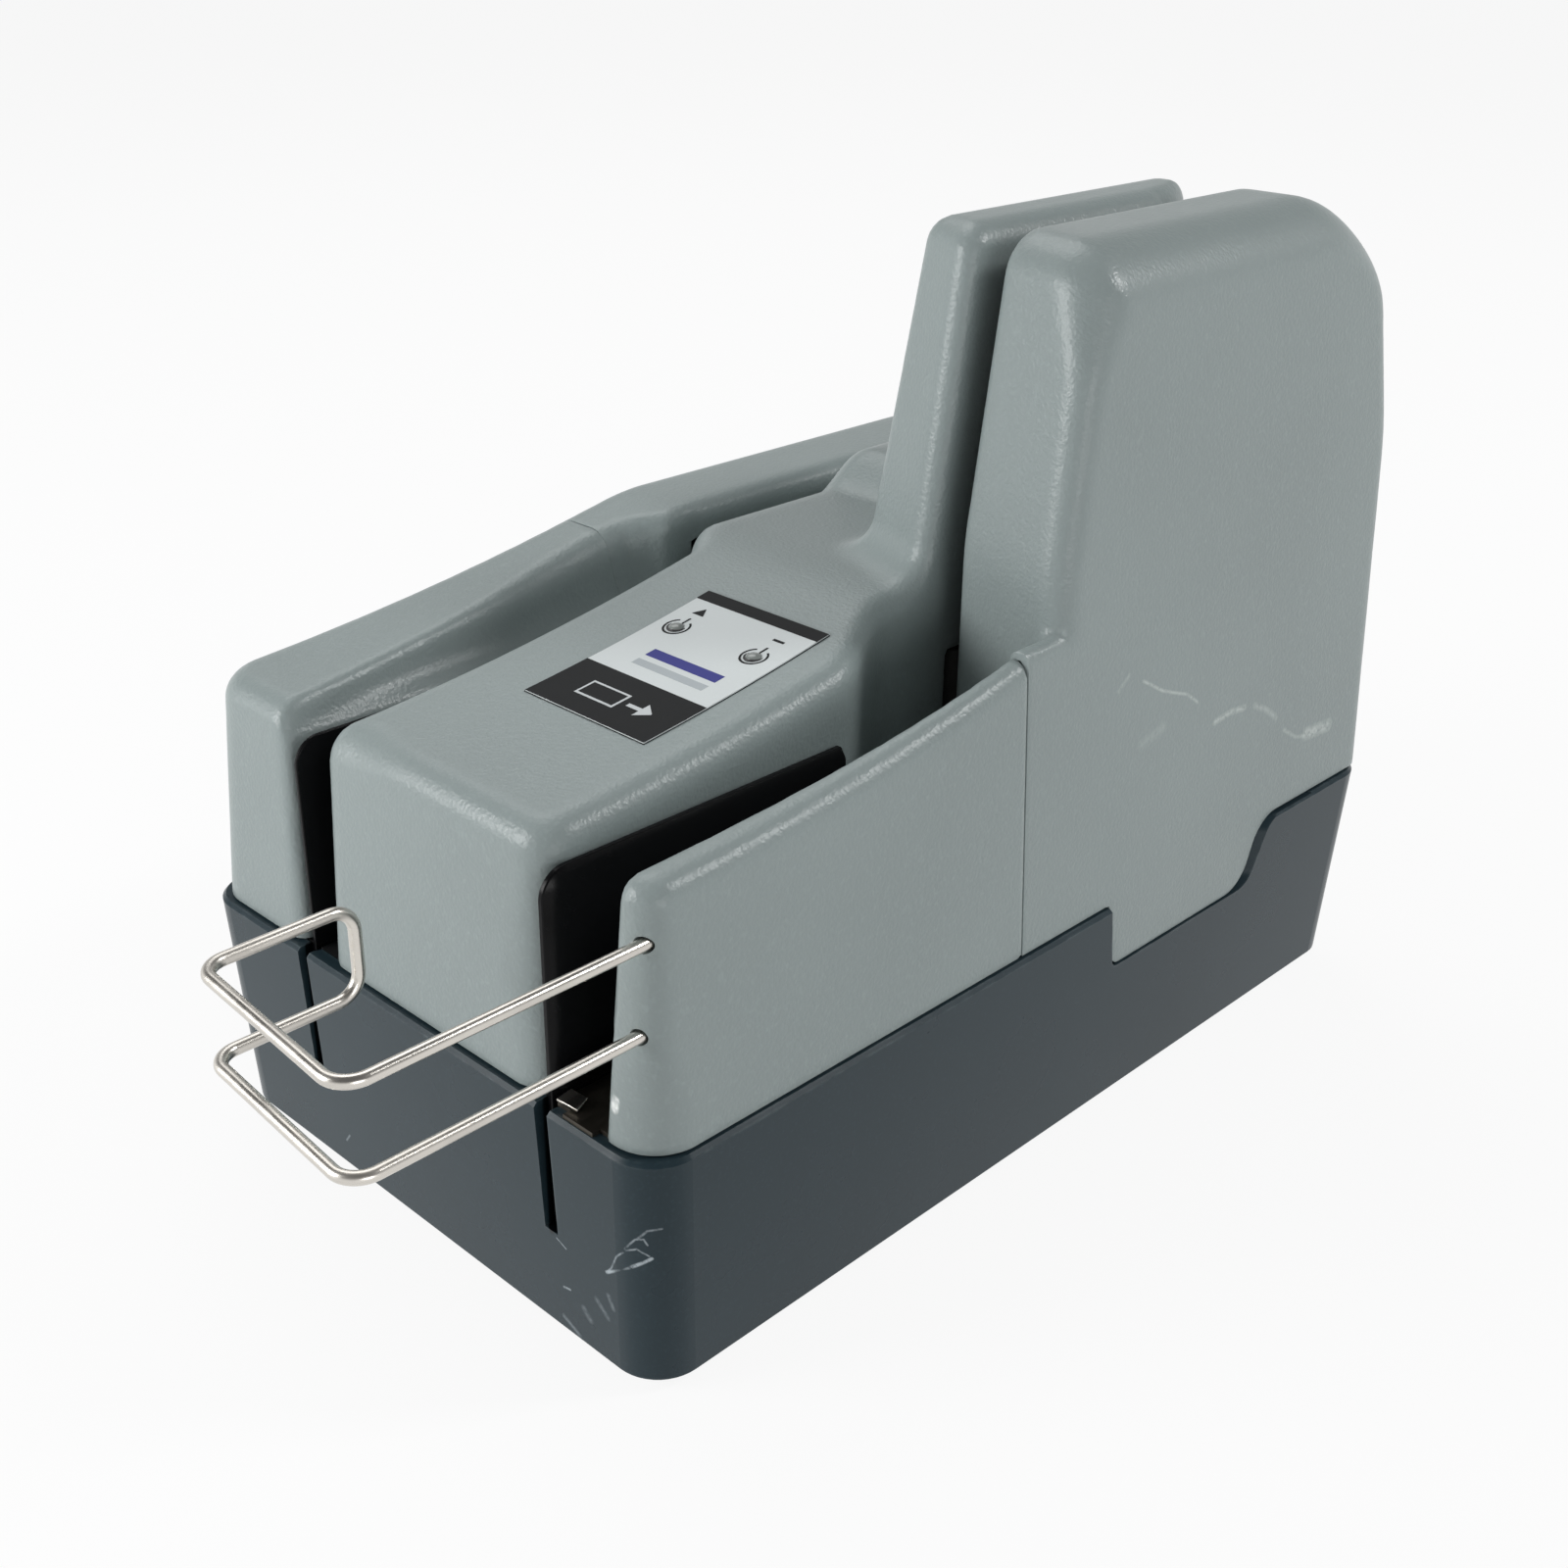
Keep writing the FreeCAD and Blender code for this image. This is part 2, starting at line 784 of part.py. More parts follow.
def lip_space(grow, z0, z1):
    """Space inside the lip of the rear cover: the track and the block it goes round."""
    strip = box(lip_x - grow, far, lip_start_y + grow, turn_y, z0, z1)
    return strip.fuse(rod(turn_x, turn_y, z0, z1, lip_turn_radius + grow)).fuse(swing_space(grow, z0, z1))


def rear_block(inset, low):
    cut = box(-far, rear_parting_x - parting_gap / 2, left_parting_y + parting_gap / 2, far, low, tower_height)
    return left_block(inset, low).common(cut)


def left_rear_cover():
    """Low hinged cover from the entry round the back of the turn, with its hinge knuckles."""
    outer = rear_block(0, cover_low)
    top = left_parting_height - cover_edge_radius
    front = left_parting_y + parting_gap
    outer = fillet(outer, cover_edge_radius, lambda edge, middle: middle.z > top and middle.y > front
                   and not upright(edge) and (middle.x < -half_width + cover_edge_radius * 2
                                              or middle.y > half_length - plan_radius / 2))
    outer = outer.cut(scoop(0))
    inner = rear_block(cover_wall, cover_low - overrun).cut(scoop(cover_wall))
    shell = outer.cut(inner)
    skirt = lip_space(cover_wall + hair, cover_low - overrun, lip_skirt_height)
    skirt = skirt.common(box(-far, far, lip_start_y + cover_wall, far, 0, far))
    shell = shell.cut(skirt)
    for level in (2, 4):
        shell = shell.fuse(knuckle(level, -1))
    return bore_knuckles(shell).removeSplitter()


# Hinge

def knuckle_heights(level):
    low = knuckle_bottom_height + knuckle_pitch * level
    return low, low + knuckle_pitch - knuckle_spacing


def knuckle(level, side):
    """One knuckle of the rear hinge with its leaf; side is +1 for the tower cover, -1 for the low cover."""
    low, high = knuckle_heights(level)
    barrel = rod(hinge_x, hinge_y, low, high, knuckle_radius)
    near = hinge_x + side * clearance
    web_end = hinge_x + side * knuckle_radius
    leaf_end = hinge_x + side * hinge_leaf_width
    web = box(min(near, web_end), max(near, web_end), cover_rear_y - hair, hinge_y, low, high)
    leaf = box(min(near, leaf_end), max(near, leaf_end), cover_rear_y - hair,
               cover_rear_y + hinge_leaf_thickness, low, high)
    return barrel.fuse(web).fuse(leaf)


def bore_knuckles(shape):
    return shape.cut(rod(hinge_x, hinge_y, 0, far, hinge_pin_radius + hinge_running_gap))


def hinge_bracket():
    """Lowest knuckle, on a plate fixed to the rear of the base; it grips the pin."""
    low, high = knuckle_heights(0)
    half_leaf = hinge_leaf_width / 2
    plate = box(hinge_x - half_leaf, hinge_x + half_leaf, half_length - base_wall,
                half_length + hinge_leaf_thickness, low, seam_height)
    web = box(hinge_x - knuckle_radius, hinge_x + knuckle_radius, half_length - base_wall, hinge_y,
              low, seam_height - clearance)
    bracket = plate.fuse(web).cut(base_block(0, 0, seam_height + overrun))
    bracket = bracket.fuse(rod(hinge_x, hinge_y, low, high, knuckle_radius))
    return bracket.cut(rod(hinge_x, hinge_y, 0, far, hinge_pin_radius)).removeSplitter()


def hinge_pin():
    low = knuckle_heights(0)[0]
    high = knuckle_heights(4)[1] + knuckle_spacing
    pin = rod(hinge_x, hinge_y, low, high, hinge_pin_radius)
    return pin.fuse(rod(hinge_x, hinge_y, high, high + hinge_pin_head, knuckle_radius)).removeSplitter()


# Centre cover

def block_plan(inset, z0, z1):
    """Plan of the centre block: wide at the front, then the inside line of the bent track."""
    rear = turn_y + turn_inner_radius - inset
    corners = [(island_left_x + inset, -far, 0), (island_right_x - inset, -far, 0),
               (island_right_x - inset, neck_start_y, neck_radius),
               (block_right_x - inset, neck_end_y, neck_radius),
               (block_right_x - inset, rear, turn_inner_radius - inset),
               (block_left_x + inset, rear, turn_inner_radius - inset),
               (block_left_x + inset, shoulder_end_y, shoulder_radius),
               (island_left_x + inset, shoulder_start_y, shoulder_radius)]
    return plan_prism(corners, z0, z1)


def island_profile():
    return [(nose_y, island_nose_height), (island_middle_y, island_middle_height, island_middle_radius),
            (island_crest_y, island_rear_height, island_crest_radius)]


def island(inset, low):
    block = block_plan(inset, low, tower_height).common(cover_envelope(inset, low, tower_height))
    return block.common(under_profile(island_profile(), inset, -half_width, half_width, low))


def plateau(inset, low):
    block = block_plan(inset, low, plateau_height - inset)
    return block.common(box(-far, far, plateau_y + inset, far, low, tower_height))


def inner_tower(inset, low):
    front = inner_tower_front_y + inner_tower_skew * block_right_x + inset
    top = tower_height - inset
    lean = inner_tower_lean * (top - tower_foot_height)
    rear = inner_tower_rear_y - inset
    profile = side_prism([(front, low, 0), (front, tower_foot_height, tower_kink_radius),
                          (front + lean, top, 0), (far, top, 0), (far, low, 0)],
                         0, half_width, -inner_tower_skew)
    left = inner_tower_left_x + inset
    side = front_prism([(left, low, 0), (left, tower_foot_height, 0),
                        (left + inner_tower_slope * (top - tower_foot_height), top, 0),
                        (far, top, 0), (far, low, 0)], -far, rear)
    return block_plan(inset, low, top).common(profile).common(side)


def panel_pocket(grow):
    return box(panel_left_x - grow, panel_right_x + grow, panel_front_y - grow, panel_rear_y + grow,
               0, tower_height)


def drive_windows():
    cuts = []
    for x, y in shaft_places():
        wall_x = block_left_x if x < 0 else block_right_x
        for z in (tyre_low_height, tyre_high_height):
            cuts.append(centred_box(wall_x, y, window_depth, 2 * (drive_radius + window_margin),
                                    z - window_margin, z + tyre_height + window_margin))
    return cuts


def centre_cover():
    """Hollow centre block: sloping top with the panel, raised rear and the inner tower."""
    body = island(0, cover_low)
    front = cover_front_y + front_slope * tower_height
    body = fillet(body, island_left_radius, lambda edge, middle: upright(edge) and middle.y < front
                  and middle.x < 0)
    body = fillet(body, island_right_radius, lambda edge, middle: upright(edge) and middle.y < front
                  and middle.x > 0)
    top = island_front_height - island_edge_radius
    body = fillet(body, island_edge_radius, lambda edge, middle: middle.z > top and not upright(edge)
                  and not (crosswise(edge) and middle.y > front + island_edge_radius))
    raised = plateau(0, cover_low)
    raised = fillet(raised, plateau_radius, lambda edge, middle: middle.z > plateau_height - hair)
    tower = inner_tower(0, cover_low)
    tower = fillet(tower, tower_edge_radius, lambda edge, middle: middle.z > tower_height - hair)
    body = body.fuse(raised).fuse(tower)
    low = cover_low - overrun
    body = body.cut(island(cover_wall, low)).cut(plateau(cover_wall, low)).cut(inner_tower(cover_wall, low))
    for cut in drive_windows():
        body = body.cut(cut)
    body = body.cut(centred_box(block_right_x, inner_bar_y, window_depth, glass_length,
                                bar_low_height + clearance, bar_high_height - clearance))
    body = body.cut(centred_box(block_left_x, head_y, window_depth, head_length + 2 * clearance,
                                head_low_height - clearance, head_low_height + head_height + clearance))
    for x in (lamp_left_x, lamp_right_x):
        body = body.cut(rod(x, lamp_y, island_front_height - overrun, far, lamp_radius))
    return body.removeSplitter()


def panel_label():
    """Thin printed plate on the sloping top."""
    outer = under_profile(island_profile(), -panel_thickness, -half_width, half_width, 0)
    inner = under_profile(island_profile(), 0, -half_width, half_width, -overrun)
    plate = outer.cut(inner).common(panel_pocket(0))
    for x in (lamp_left_x, lamp_right_x):
        plate = plate.cut(rod(x, lamp_y, 0, far, lamp_radius))
    return plate


def lamps():
    """Two clear light rods that end just proud of the panel."""
    above = under_profile(island_profile(), -panel_thickness - lamp_stand, -half_width, half_width, 0)
    under = under_profile(island_profile(), cover_wall, -half_width, half_width, 0)
    solids = []
    for x in (lamp_left_x, lamp_right_x):
        low = island_middle_height - lamp_length
        pin = rod(x, lamp_y, low, far, lamp_radius)
        collar = rod(x, lamp_y, low, far, lamp_collar_radius).common(under)
        solids.append(pin.common(above).fuse(collar).removeSplitter())
    return Part.makeCompound(solids)


# Outer tower cover

def tower_body(inset, low):
    """Form of the outer tower: leaning front, drafted side rounded all along, big curve at the rear."""
    top = tower_height - inset
    front = tower_front_y + inset
    lean = tower_lean * (top - tower_kink_height)
    front_form = side_prism([(front, low, 0), (front, tower_kink_height, tower_kink_radius),
                             (front + lean, top, tower_brow_radius - inset), (far, top, 0), (far, low, 0)],
                            outer_right_x, outer_right_x + half_width, -tower_skew)
    back_form = side_prism([(-far, low, 0), (-far, top, 0),
                            (tower_back_top_y - inset, top, tower_back_top_radius - inset),
                            (cover_rear_y - inset, tower_back_low_height, tower_back_low_radius - inset),
                            (cover_rear_y - inset, low, 0)], outer_right_x, half_width + overrun)
    side = cover_side_x - inset
    side_form = front_prism([(0, low, 0), (side - side_slope * (low - seam_height), low, 0),
                             (side - side_slope * (top - seam_height), top, 0), (0, top, 0)], -far, far)
    form = front_form.common(back_form).common(side_form)
    return fillet(form, tower_side_radius - inset, lambda edge, middle: middle.z > low + hair
                  and middle.x > side - side_slope * (middle.z - seam_height) - hair)


def rail_stub(inset, low):
    """Short end of the exit rail that belongs to the tower cover."""
    inner = right_inner_x + inset
    rise = stub_height - inset - seam_height
    form = front_prism([(inner + inner_slope * (low - seam_height), low, 0), (far, low, 0),
                        (far, stub_height - inset, 0), (inner + inner_slope * rise, stub_height - inset, 0)],
                       parting_y + parting_gap / 2 + inset, tower_front_y + overrun)
    return form.common(cover_envelope(inset, low, tower_height))


def tower_cover():
    """Tall hinged cover of the exit side, open towards the track, with its tab and hinge knuckles."""
    low = cover_low - overrun
    stub = rail_stub(0, cover_low)
    stub = fillet(stub, rail_edge_radius, lambda edge, middle: middle.z > stub_height - hair
                  and not crosswise(edge))
    body = tower_body(0, cover_low)
    body = fillet(body, tower_gap_radius, lambda edge, middle: middle.x < outer_right_x + hair
                  and middle.z > cover_low + hair)
    shell = body.fuse(stub)
    inner = tower_body(tower_wall, low)
    shell = shell.cut(inner).cut(rail_stub(tower_wall, low))
    wall_x = outer_right_x + tower_wall + hair
    track_side = inner.copy()
    track_side.translate(V(-tower_wall - hair, 0, 0))
    plate_opening = box(0, wall_x, -far, tower_side_wall_y, low, far)
    turn_opening = box(0, wall_x, -far, far, low, lip_skirt_height)
    shell = shell.cut(track_side.common(plate_opening)).cut(track_side.common(turn_opening))
    tab_x = cover_side_x - tab_thickness
    shell = shell.fuse(tab_space(0, cover_low + tab_thickness, tab_x, cover_side_x))
    for level in (1, 3):
        shell = shell.fuse(knuckle(level, 1))
    return bore_knuckles(shell).removeSplitter()


# Wire stop

def wire_stop():
    """Bent wire: two long legs in the bores of the front cover and a hanging loop in front."""
    upper, lower = wire_upper_height, wire_lower_height
    cross_y = wire_front_y + wire_cross_rise
    points = [V(wire_x, wire_rear_y, upper), V(wire_x, wire_front_y, upper), V(wire_left_x, cross_y, upper),
              V(wire_left_x, wire_return_y, upper), V(wire_left_x, wire_return_y, lower),
              V(wire_left_x, cross_y, lower), V(wire_x, wire_front_y, lower),
              V(wire_x, wire_rear_y, lower)]
    radii = [0] + [wire_bend_radius] * (len(points) - 2) + [0]
    path = bent_path(points, radii, False)
    section = Part.Wire([Part.makeCircle(wire_radius, points[0], V(0, -1, 0))])
    return path.makePipeShell([section], True, False)


# Track guides

def idler_window(x, y):
    """Opening that clears an idler and the arms of its bracket."""
    reach = clearance + bracket_arm + window_margin
    return centred_box(x, y, window_depth, 2 * (idler_radius + window_margin),
                       tyre_low_height - reach, tyre_top + reach)


def track_guide():
    """Guide wall outside the track: straight on the entry side, then round the turn."""
    outer = rod(turn_x, turn_y, seam_height, guide_height, guide_outer_radius)
    outer = outer.common(box(-far, far, turn_y, far, 0, far))
    outer = outer.fuse(box(outer_left_x - guide_thickness, outer_left_x, guide_front_y, turn_y,
                           seam_height, guide_height))
    wall = outer.cut(rod(turn_x, turn_y, 0, far, turn_outer_radius))
    wall = wall.cut(box(outer_left_x - window_depth, outer_left_x + window_depth,
                        arm_tip_y - pad_sweep, arm_tip_y - pad_sweep + pad_window_length,
                        arm_low_height - window_margin, arm_low_height + arm_height + window_margin))
    wall = wall.cut(idler_window(outer_left_x, turn_roller_y))
    nozzle_y = cartridge_front_y + cartridge_radius
    wall = wall.cut(box(outer_right_x - window_depth, outer_right_x + window_depth,
                        nozzle_y - window_margin, nozzle_y + nozzle_length + window_margin,
                        cartridge_low_height - window_margin,
                        cartridge_low_height + nozzle_height + window_margin))
    return wall.removeSplitter()


def frame_plate():
    """Tall plate on the exit side of the track, in front of the outer scanning bar."""
    lean = tower_lean * (frame_plate_height - tower_kink_height)
    front = frame_plate_front_y
    plate = side_prism([(front, seam_height, 0), (front, tower_kink_height, 0),
                        (front + lean, frame_plate_height, 0), (turn_y, frame_plate_height, 0),
                        (turn_y, seam_height, 0)], outer_right_x, frame_plate_x)
    for y in (exit_roller_y, turn_roller_y):
        plate = plate.cut(idler_window(outer_right_x, y))
    return plate.cut(centred_box(outer_right_x, outer_bar_y, window_depth, glass_length,
                                 bar_low_height + clearance, bar_high_height - clearance))


# Rollers and drive

def drive_shaft(place):
    x, y = place
    shaft = rod(x, y, shaft_bottom_height, shaft_top_height, shaft_radius)
    for z in (tyre_low_height, tyre_high_height):
        shaft = shaft.fuse(rod(x, y, z, z + tyre_height, hub_radius))
    return shaft.removeSplitter()


def tyres(place):
    x, y = place
    solids = [ring(x, y, z, z + tyre_height, drive_radius, hub_radius)
              for z in (tyre_low_height, tyre_high_height)]
    return Part.makeCompound(solids)


def pulley_wheel(x, y, radius, flange, bore):
    low = pulley_low_height
    wheel = rod(x, y, low, low + pulley_height + 2 * flange_thickness, radius)
    for z in (low, low + flange_thickness + pulley_height):
        wheel = wheel.fuse(rod(x, y, z, z + flange_thickness, flange))
    return wheel.cut(rod(x, y, 0, far, bore)).removeSplitter()


def drive_pulley(place):
    x, y = place
    return pulley_wheel(x, y, pulley_radius, flange_radius, shaft_radius)


def motor():
    """Motor can on the deck, with a raised nose through it and a clear bore for the shaft."""
    can = rod(motor_x, motor_y, seam_height, seam_height + motor_height, motor_radius)
    can = fillet(can, motor_edge_radius, lambda edge, middle: middle.z > seam_height + hair
                 and middle.z < seam_height + motor_height + hair and not upright(edge))
    return can.cut(rod(motor_x, motor_y, 0, far, motor_shaft_radius + shaft_running_gap))


def motor_shaft():
    top = seam_height + motor_height + motor_shaft_stub
    return rod(motor_x, motor_y, pulley_low_height - motor_shaft_stub / 2, top, motor_shaft_radius)


def motor_pulley():
    return pulley_wheel(motor_x, motor_y, motor_pulley_radius, motor_flange_radius, motor_shaft_radius)


def belt_wheels():
    """Centres and belt line radii of the pulleys, anticlockwise from above."""
    wheels = [(motor_x, motor_y, motor_pulley_radius)]
    for x, y in reversed(shaft_places()):
        wheels.append((x, y, pulley_radius))
    return wheels


def belt_wire(extra, z):
    """Closed line round all pulleys: outer tangents joined by arcs."""
    wheels = [(V(x, y, z), radius + extra) for x, y, radius in belt_wheels()]
    count = len(wheels)
    sides = []
    for i in range(count):
        centre, radius = wheels[i]
        following, next_radius = wheels[(i + 1) % count]
        run = following - centre
        along = run / run.Length
        across = V(along.y, -along.x, 0)
        sine = (radius - next_radius) / run.Length
        sides.append(across * math.sqrt(1 - sine ** 2) + along * sine)
    edges = []
    for i in range(count):
        centre, radius = wheels[i]
        following, next_radius = wheels[(i + 1) % count]
        before, after = sides[i - 1], sides[i]
        middle = (before + after).normalize()
        edges.append(Part.Arc(centre + before * radius, centre + middle * radius,
                              centre + after * radius).toShape())
        edges.append(Part.LineSegment(centre + after * radius, following + after * next_radius).toShape())
    return Part.Wire(edges)


def drive_belt():
    low = pulley_low_height + flange_thickness + belt_gap
    high = pulley_low_height + flange_thickness + pulley_height - belt_gap
    rise = V(0, 0, high - low)
    outer = Part.Face(belt_wire(belt_gap + belt_thickness, low)).extrude(rise)
    return outer.cut(Part.Face(belt_wire(belt_gap, low)).extrude(rise))


def bushes():
    """Bearing bushes in the deck and in the lower plate."""
    solids = []
    for x, y in shaft_places():
        for z in (bearing_plate_height, seam_height - bush_height):
            solids.append(ring(x, y, z, z + bush_height, bush_radius, shaft_radius + shaft_running_gap))
    return Part.makeCompound(solids)


def standoff_places():
    return [(x, y) for x in (standoff_left_x, standoff_right_x)
            for y in (standoff_front_y, standoff_rear_y)]


def bearing_plate():
    """Lower plate of the drive, hung from the deck on four posts."""
    plate = box(standoff_left_x - bearing_margin, standoff_right_x + bearing_margin,
                standoff_front_y - bearing_margin, standoff_rear_y + bearing_margin,
                bearing_plate_height, bearing_plate_height + bearing_plate_thickness)
    for x, y in standoff_places():
        plate = plate.fuse(rod(x, y, bearing_plate_height + bearing_plate_thickness, deck_low,
                               standoff_radius))
    for x, y in shaft_places():
        plate = plate.cut(rod(x, y, 0, deck_low, bush_radius))
    return plate.removeSplitter()


def idler_bracket(x, y, side):
    """Forked bracket with a fixed axle; side points away from the track."""
    low = tyre_low_height
    high = tyre_top
    post_near = x + side * bracket_reach
    post_far = post_near + side * bracket_post
    post = box(min(post_near, post_far), max(post_near, post_far), y - bracket_width / 2,
               y + bracket_width / 2, seam_height, high + clearance + bracket_arm)
    bracket = post
    for z in (low - clearance - bracket_arm, high + clearance):
        arm = rod(x, y, z, z + bracket_arm, axle_boss_radius)
        arm = arm.fuse(box(min(x, post_near), max(x, post_near), y - bracket_arm, y + bracket_arm,
                           z, z + bracket_arm))
        bracket = bracket.fuse(arm)
    bracket = bracket.fuse(rod(x, y, low - clearance, high + clearance, axle_radius))
    return bracket.removeSplitter()


def idler(x, y):
    return ring(x, y, tyre_low_height, tyre_top, idler_radius, axle_radius + shaft_running_gap)


# Feed pad arm

def arm_points():
    return V(arm_pivot_x, arm_pivot_y, 0), V(arm_tip_x, arm_tip_y, 0)


def feed_arm():
    """Sprung arm that carries the pad beside the feed roller."""
    pivot, tip = arm_points()
    low, high = arm_low_height, arm_low_height + arm_height
    along = (tip - pivot).normalize()
    across = V(-along.y, along.x, 0) * (arm_thickness / 2)
    rise = V(0, 0, low)
    bar = prism([pivot + across + rise, pivot - across + rise, tip - across + rise, tip + across + rise],
                [0, 0, 0, 0], V(0, 0, high - low))
    hub = rod(pivot.x, pivot.y, low, high, arm_hub_radius)
    shoe = box(arm_tip_x, arm_tip_x + arm_thickness, arm_tip_y, arm_tip_y + pad_length, low, high)
    arm = bar.fuse(hub).fuse(shoe)
    return arm.cut(rod(pivot.x, pivot.y, 0, far, axle_radius + shaft_running_gap)).removeSplitter()


def feed_pad():
    x = arm_tip_x + arm_thickness
    return box(x, x + pad_rubber, arm_tip_y, arm_tip_y + pad_length, arm_low_height,
               arm_low_height + arm_height)


def arm_post():
    post = rod(arm_pivot_x, arm_pivot_y, seam_height, arm_low_height - clearance, arm_post_flange)
    collar = arm_low_height + arm_height + clearance
    top = collar + arm_collar_height
    post = post.fuse(rod(arm_pivot_x, arm_pivot_y, seam_height, top, axle_radius))
    post = post.fuse(rod(arm_pivot_x, arm_pivot_y, collar, top, arm_post_flange))
    return post.removeSplitter()


# Scanning bars, read head and printer

def scan_bar(x0, x1, y):
    bar = box(min(x0, x1), max(x0, x1), y - bar_length / 2, y + bar_length / 2, bar_low_height,
              bar_high_height)
    foot = box(min(x0, x1), max(x0, x1), y - bar_length / 2, y + bar_length / 2, seam_height,
               bar_low_height)
    return bar.fuse(foot).removeSplitter()


def inner_scan_bar():
    x = block_right_x - cover_wall
    return scan_bar(x - bar_width, x, inner_bar_y)


def outer_scan_bar():
    return scan_bar(frame_plate_x, frame_plate_x + bar_width, outer_bar_y)


def bar_glass(x, y):
    return box(x, x + glass_thickness, y - glass_length / 2, y + glass_length / 2,
               bar_low_height + clearance, bar_high_height - clearance)


def read_head():
    """Magnetic read head that looks out of the entry side of the centre block."""
    left = block_left_x + head_stand
    return box(left, left + head_width, head_y - head_length / 2, head_y + head_length / 2,
               head_low_height, head_low_height + head_height)


def head_bracket():
    left = block_left_x + head_stand + head_width
    post = box(left, left + bracket_post, head_y - head_length / 2, head_y + head_length / 2,
               seam_height, head_low_height + head_height)
    shelf = box(block_left_x + cover_wall + clearance, left, head_y - head_length / 2,
                head_y + head_length / 2, seam_height, head_low_height)
    return post.fuse(shelf).removeSplitter()


def ink_cartridge():
    body = box(cartridge_left_x, cartridge_right_x, cartridge_front_y, cartridge_rear_y,
               cartridge_low_height, cartridge_high_height)
    body = fillet(body, cartridge_radius, lambda edge, middle: upright(edge))
    nozzle_y = cartridge_front_y + cartridge_radius
    nozzle = box(cartridge_left_x - nozzle_reach, cartridge_left_x + cartridge_radius,
                 nozzle_y, nozzle_y + nozzle_length,
                 cartridge_low_height, cartridge_low_height + nozzle_height)
    return body.fuse(nozzle).removeSplitter()


def cartridge_holder():
    """Open tray that holds the cartridge on the deck."""
    left, right = cartridge_left_x - holder_wall, cartridge_right_x + holder_wall
    front, rear = cartridge_front_y - holder_wall, cartridge_rear_y + holder_wall
    tray = box(cartridge_left_x, right, front, rear, seam_height, cartridge_low_height + holder_height)
    return tray.cut(box(left - overrun, cartridge_right_x, cartridge_front_y, cartridge_rear_y,
                        cartridge_low_height, far))


# Electronics

def circuit_board():
    rear = half_length - base_wall - base_inset - clearance
    board = box(board_left_x, board_right_x, board_front_y, rear, board_height, board_top)
    for i in (0, 1):
        x = chip_x + chip_pitch * i
        board = board.fuse(box(x, x + chip_width, chip_y, chip_y + chip_width, board_top,
                               board_top + chip_height))
    return board.removeSplitter()


def usb_socket():
    """Square socket with a tongue, open to the rear."""
    rear = half_length - socket_recess
    low = board_top
    shell = box(usb_x - socket_width / 2, usb_x + socket_width / 2, rear - socket_depth, rear, low,
                low + socket_height)
    middle = low + socket_height / 2
    shell = shell.cut(box(usb_x - usb_mouth_width / 2, usb_x + usb_mouth_width / 2, rear - usb_mouth_depth,
                          rear + overrun, middle - usb_mouth_height / 2, middle + usb_mouth_height / 2))
    tongue = box(usb_x - usb_tongue_width / 2, usb_x + usb_tongue_width / 2, rear - usb_mouth_depth,
                 rear - tongue_recess, middle - usb_tongue_height / 2, middle + usb_tongue_height / 2)
    return shell.fuse(tongue).removeSplitter()


def power_socket():
    """Round low-voltage inlet with its centre pin."""
    rear = half_length - socket_recess
    low = board_top
    shell = box(power_x - socket_width / 2, power_x + socket_width / 2, rear - socket_depth, rear, low,
                low + socket_height)
    middle = low + socket_height / 2
    shell = shell.cut(rod_y(power_x, middle, rear - power_bore_depth, rear + overrun, power_bore_radius))
    pin = rod_y(power_x, middle, rear - power_bore_depth, rear - power_pin_stand, power_pin_radius)
    return shell.fuse(pin).removeSplitter()


def catch_magnets():
    """Two small magnets on the deck that hold the hinged covers shut."""
    solids = []
    for x, y in ((left_magnet_x, left_magnet_y), (right_magnet_x, right_magnet_y)):
        solids.append(centred_box(x, y, magnet_width, magnet_length, seam_height,
                                  seam_height + magnet_height))
    return Part.makeCompound(solids)


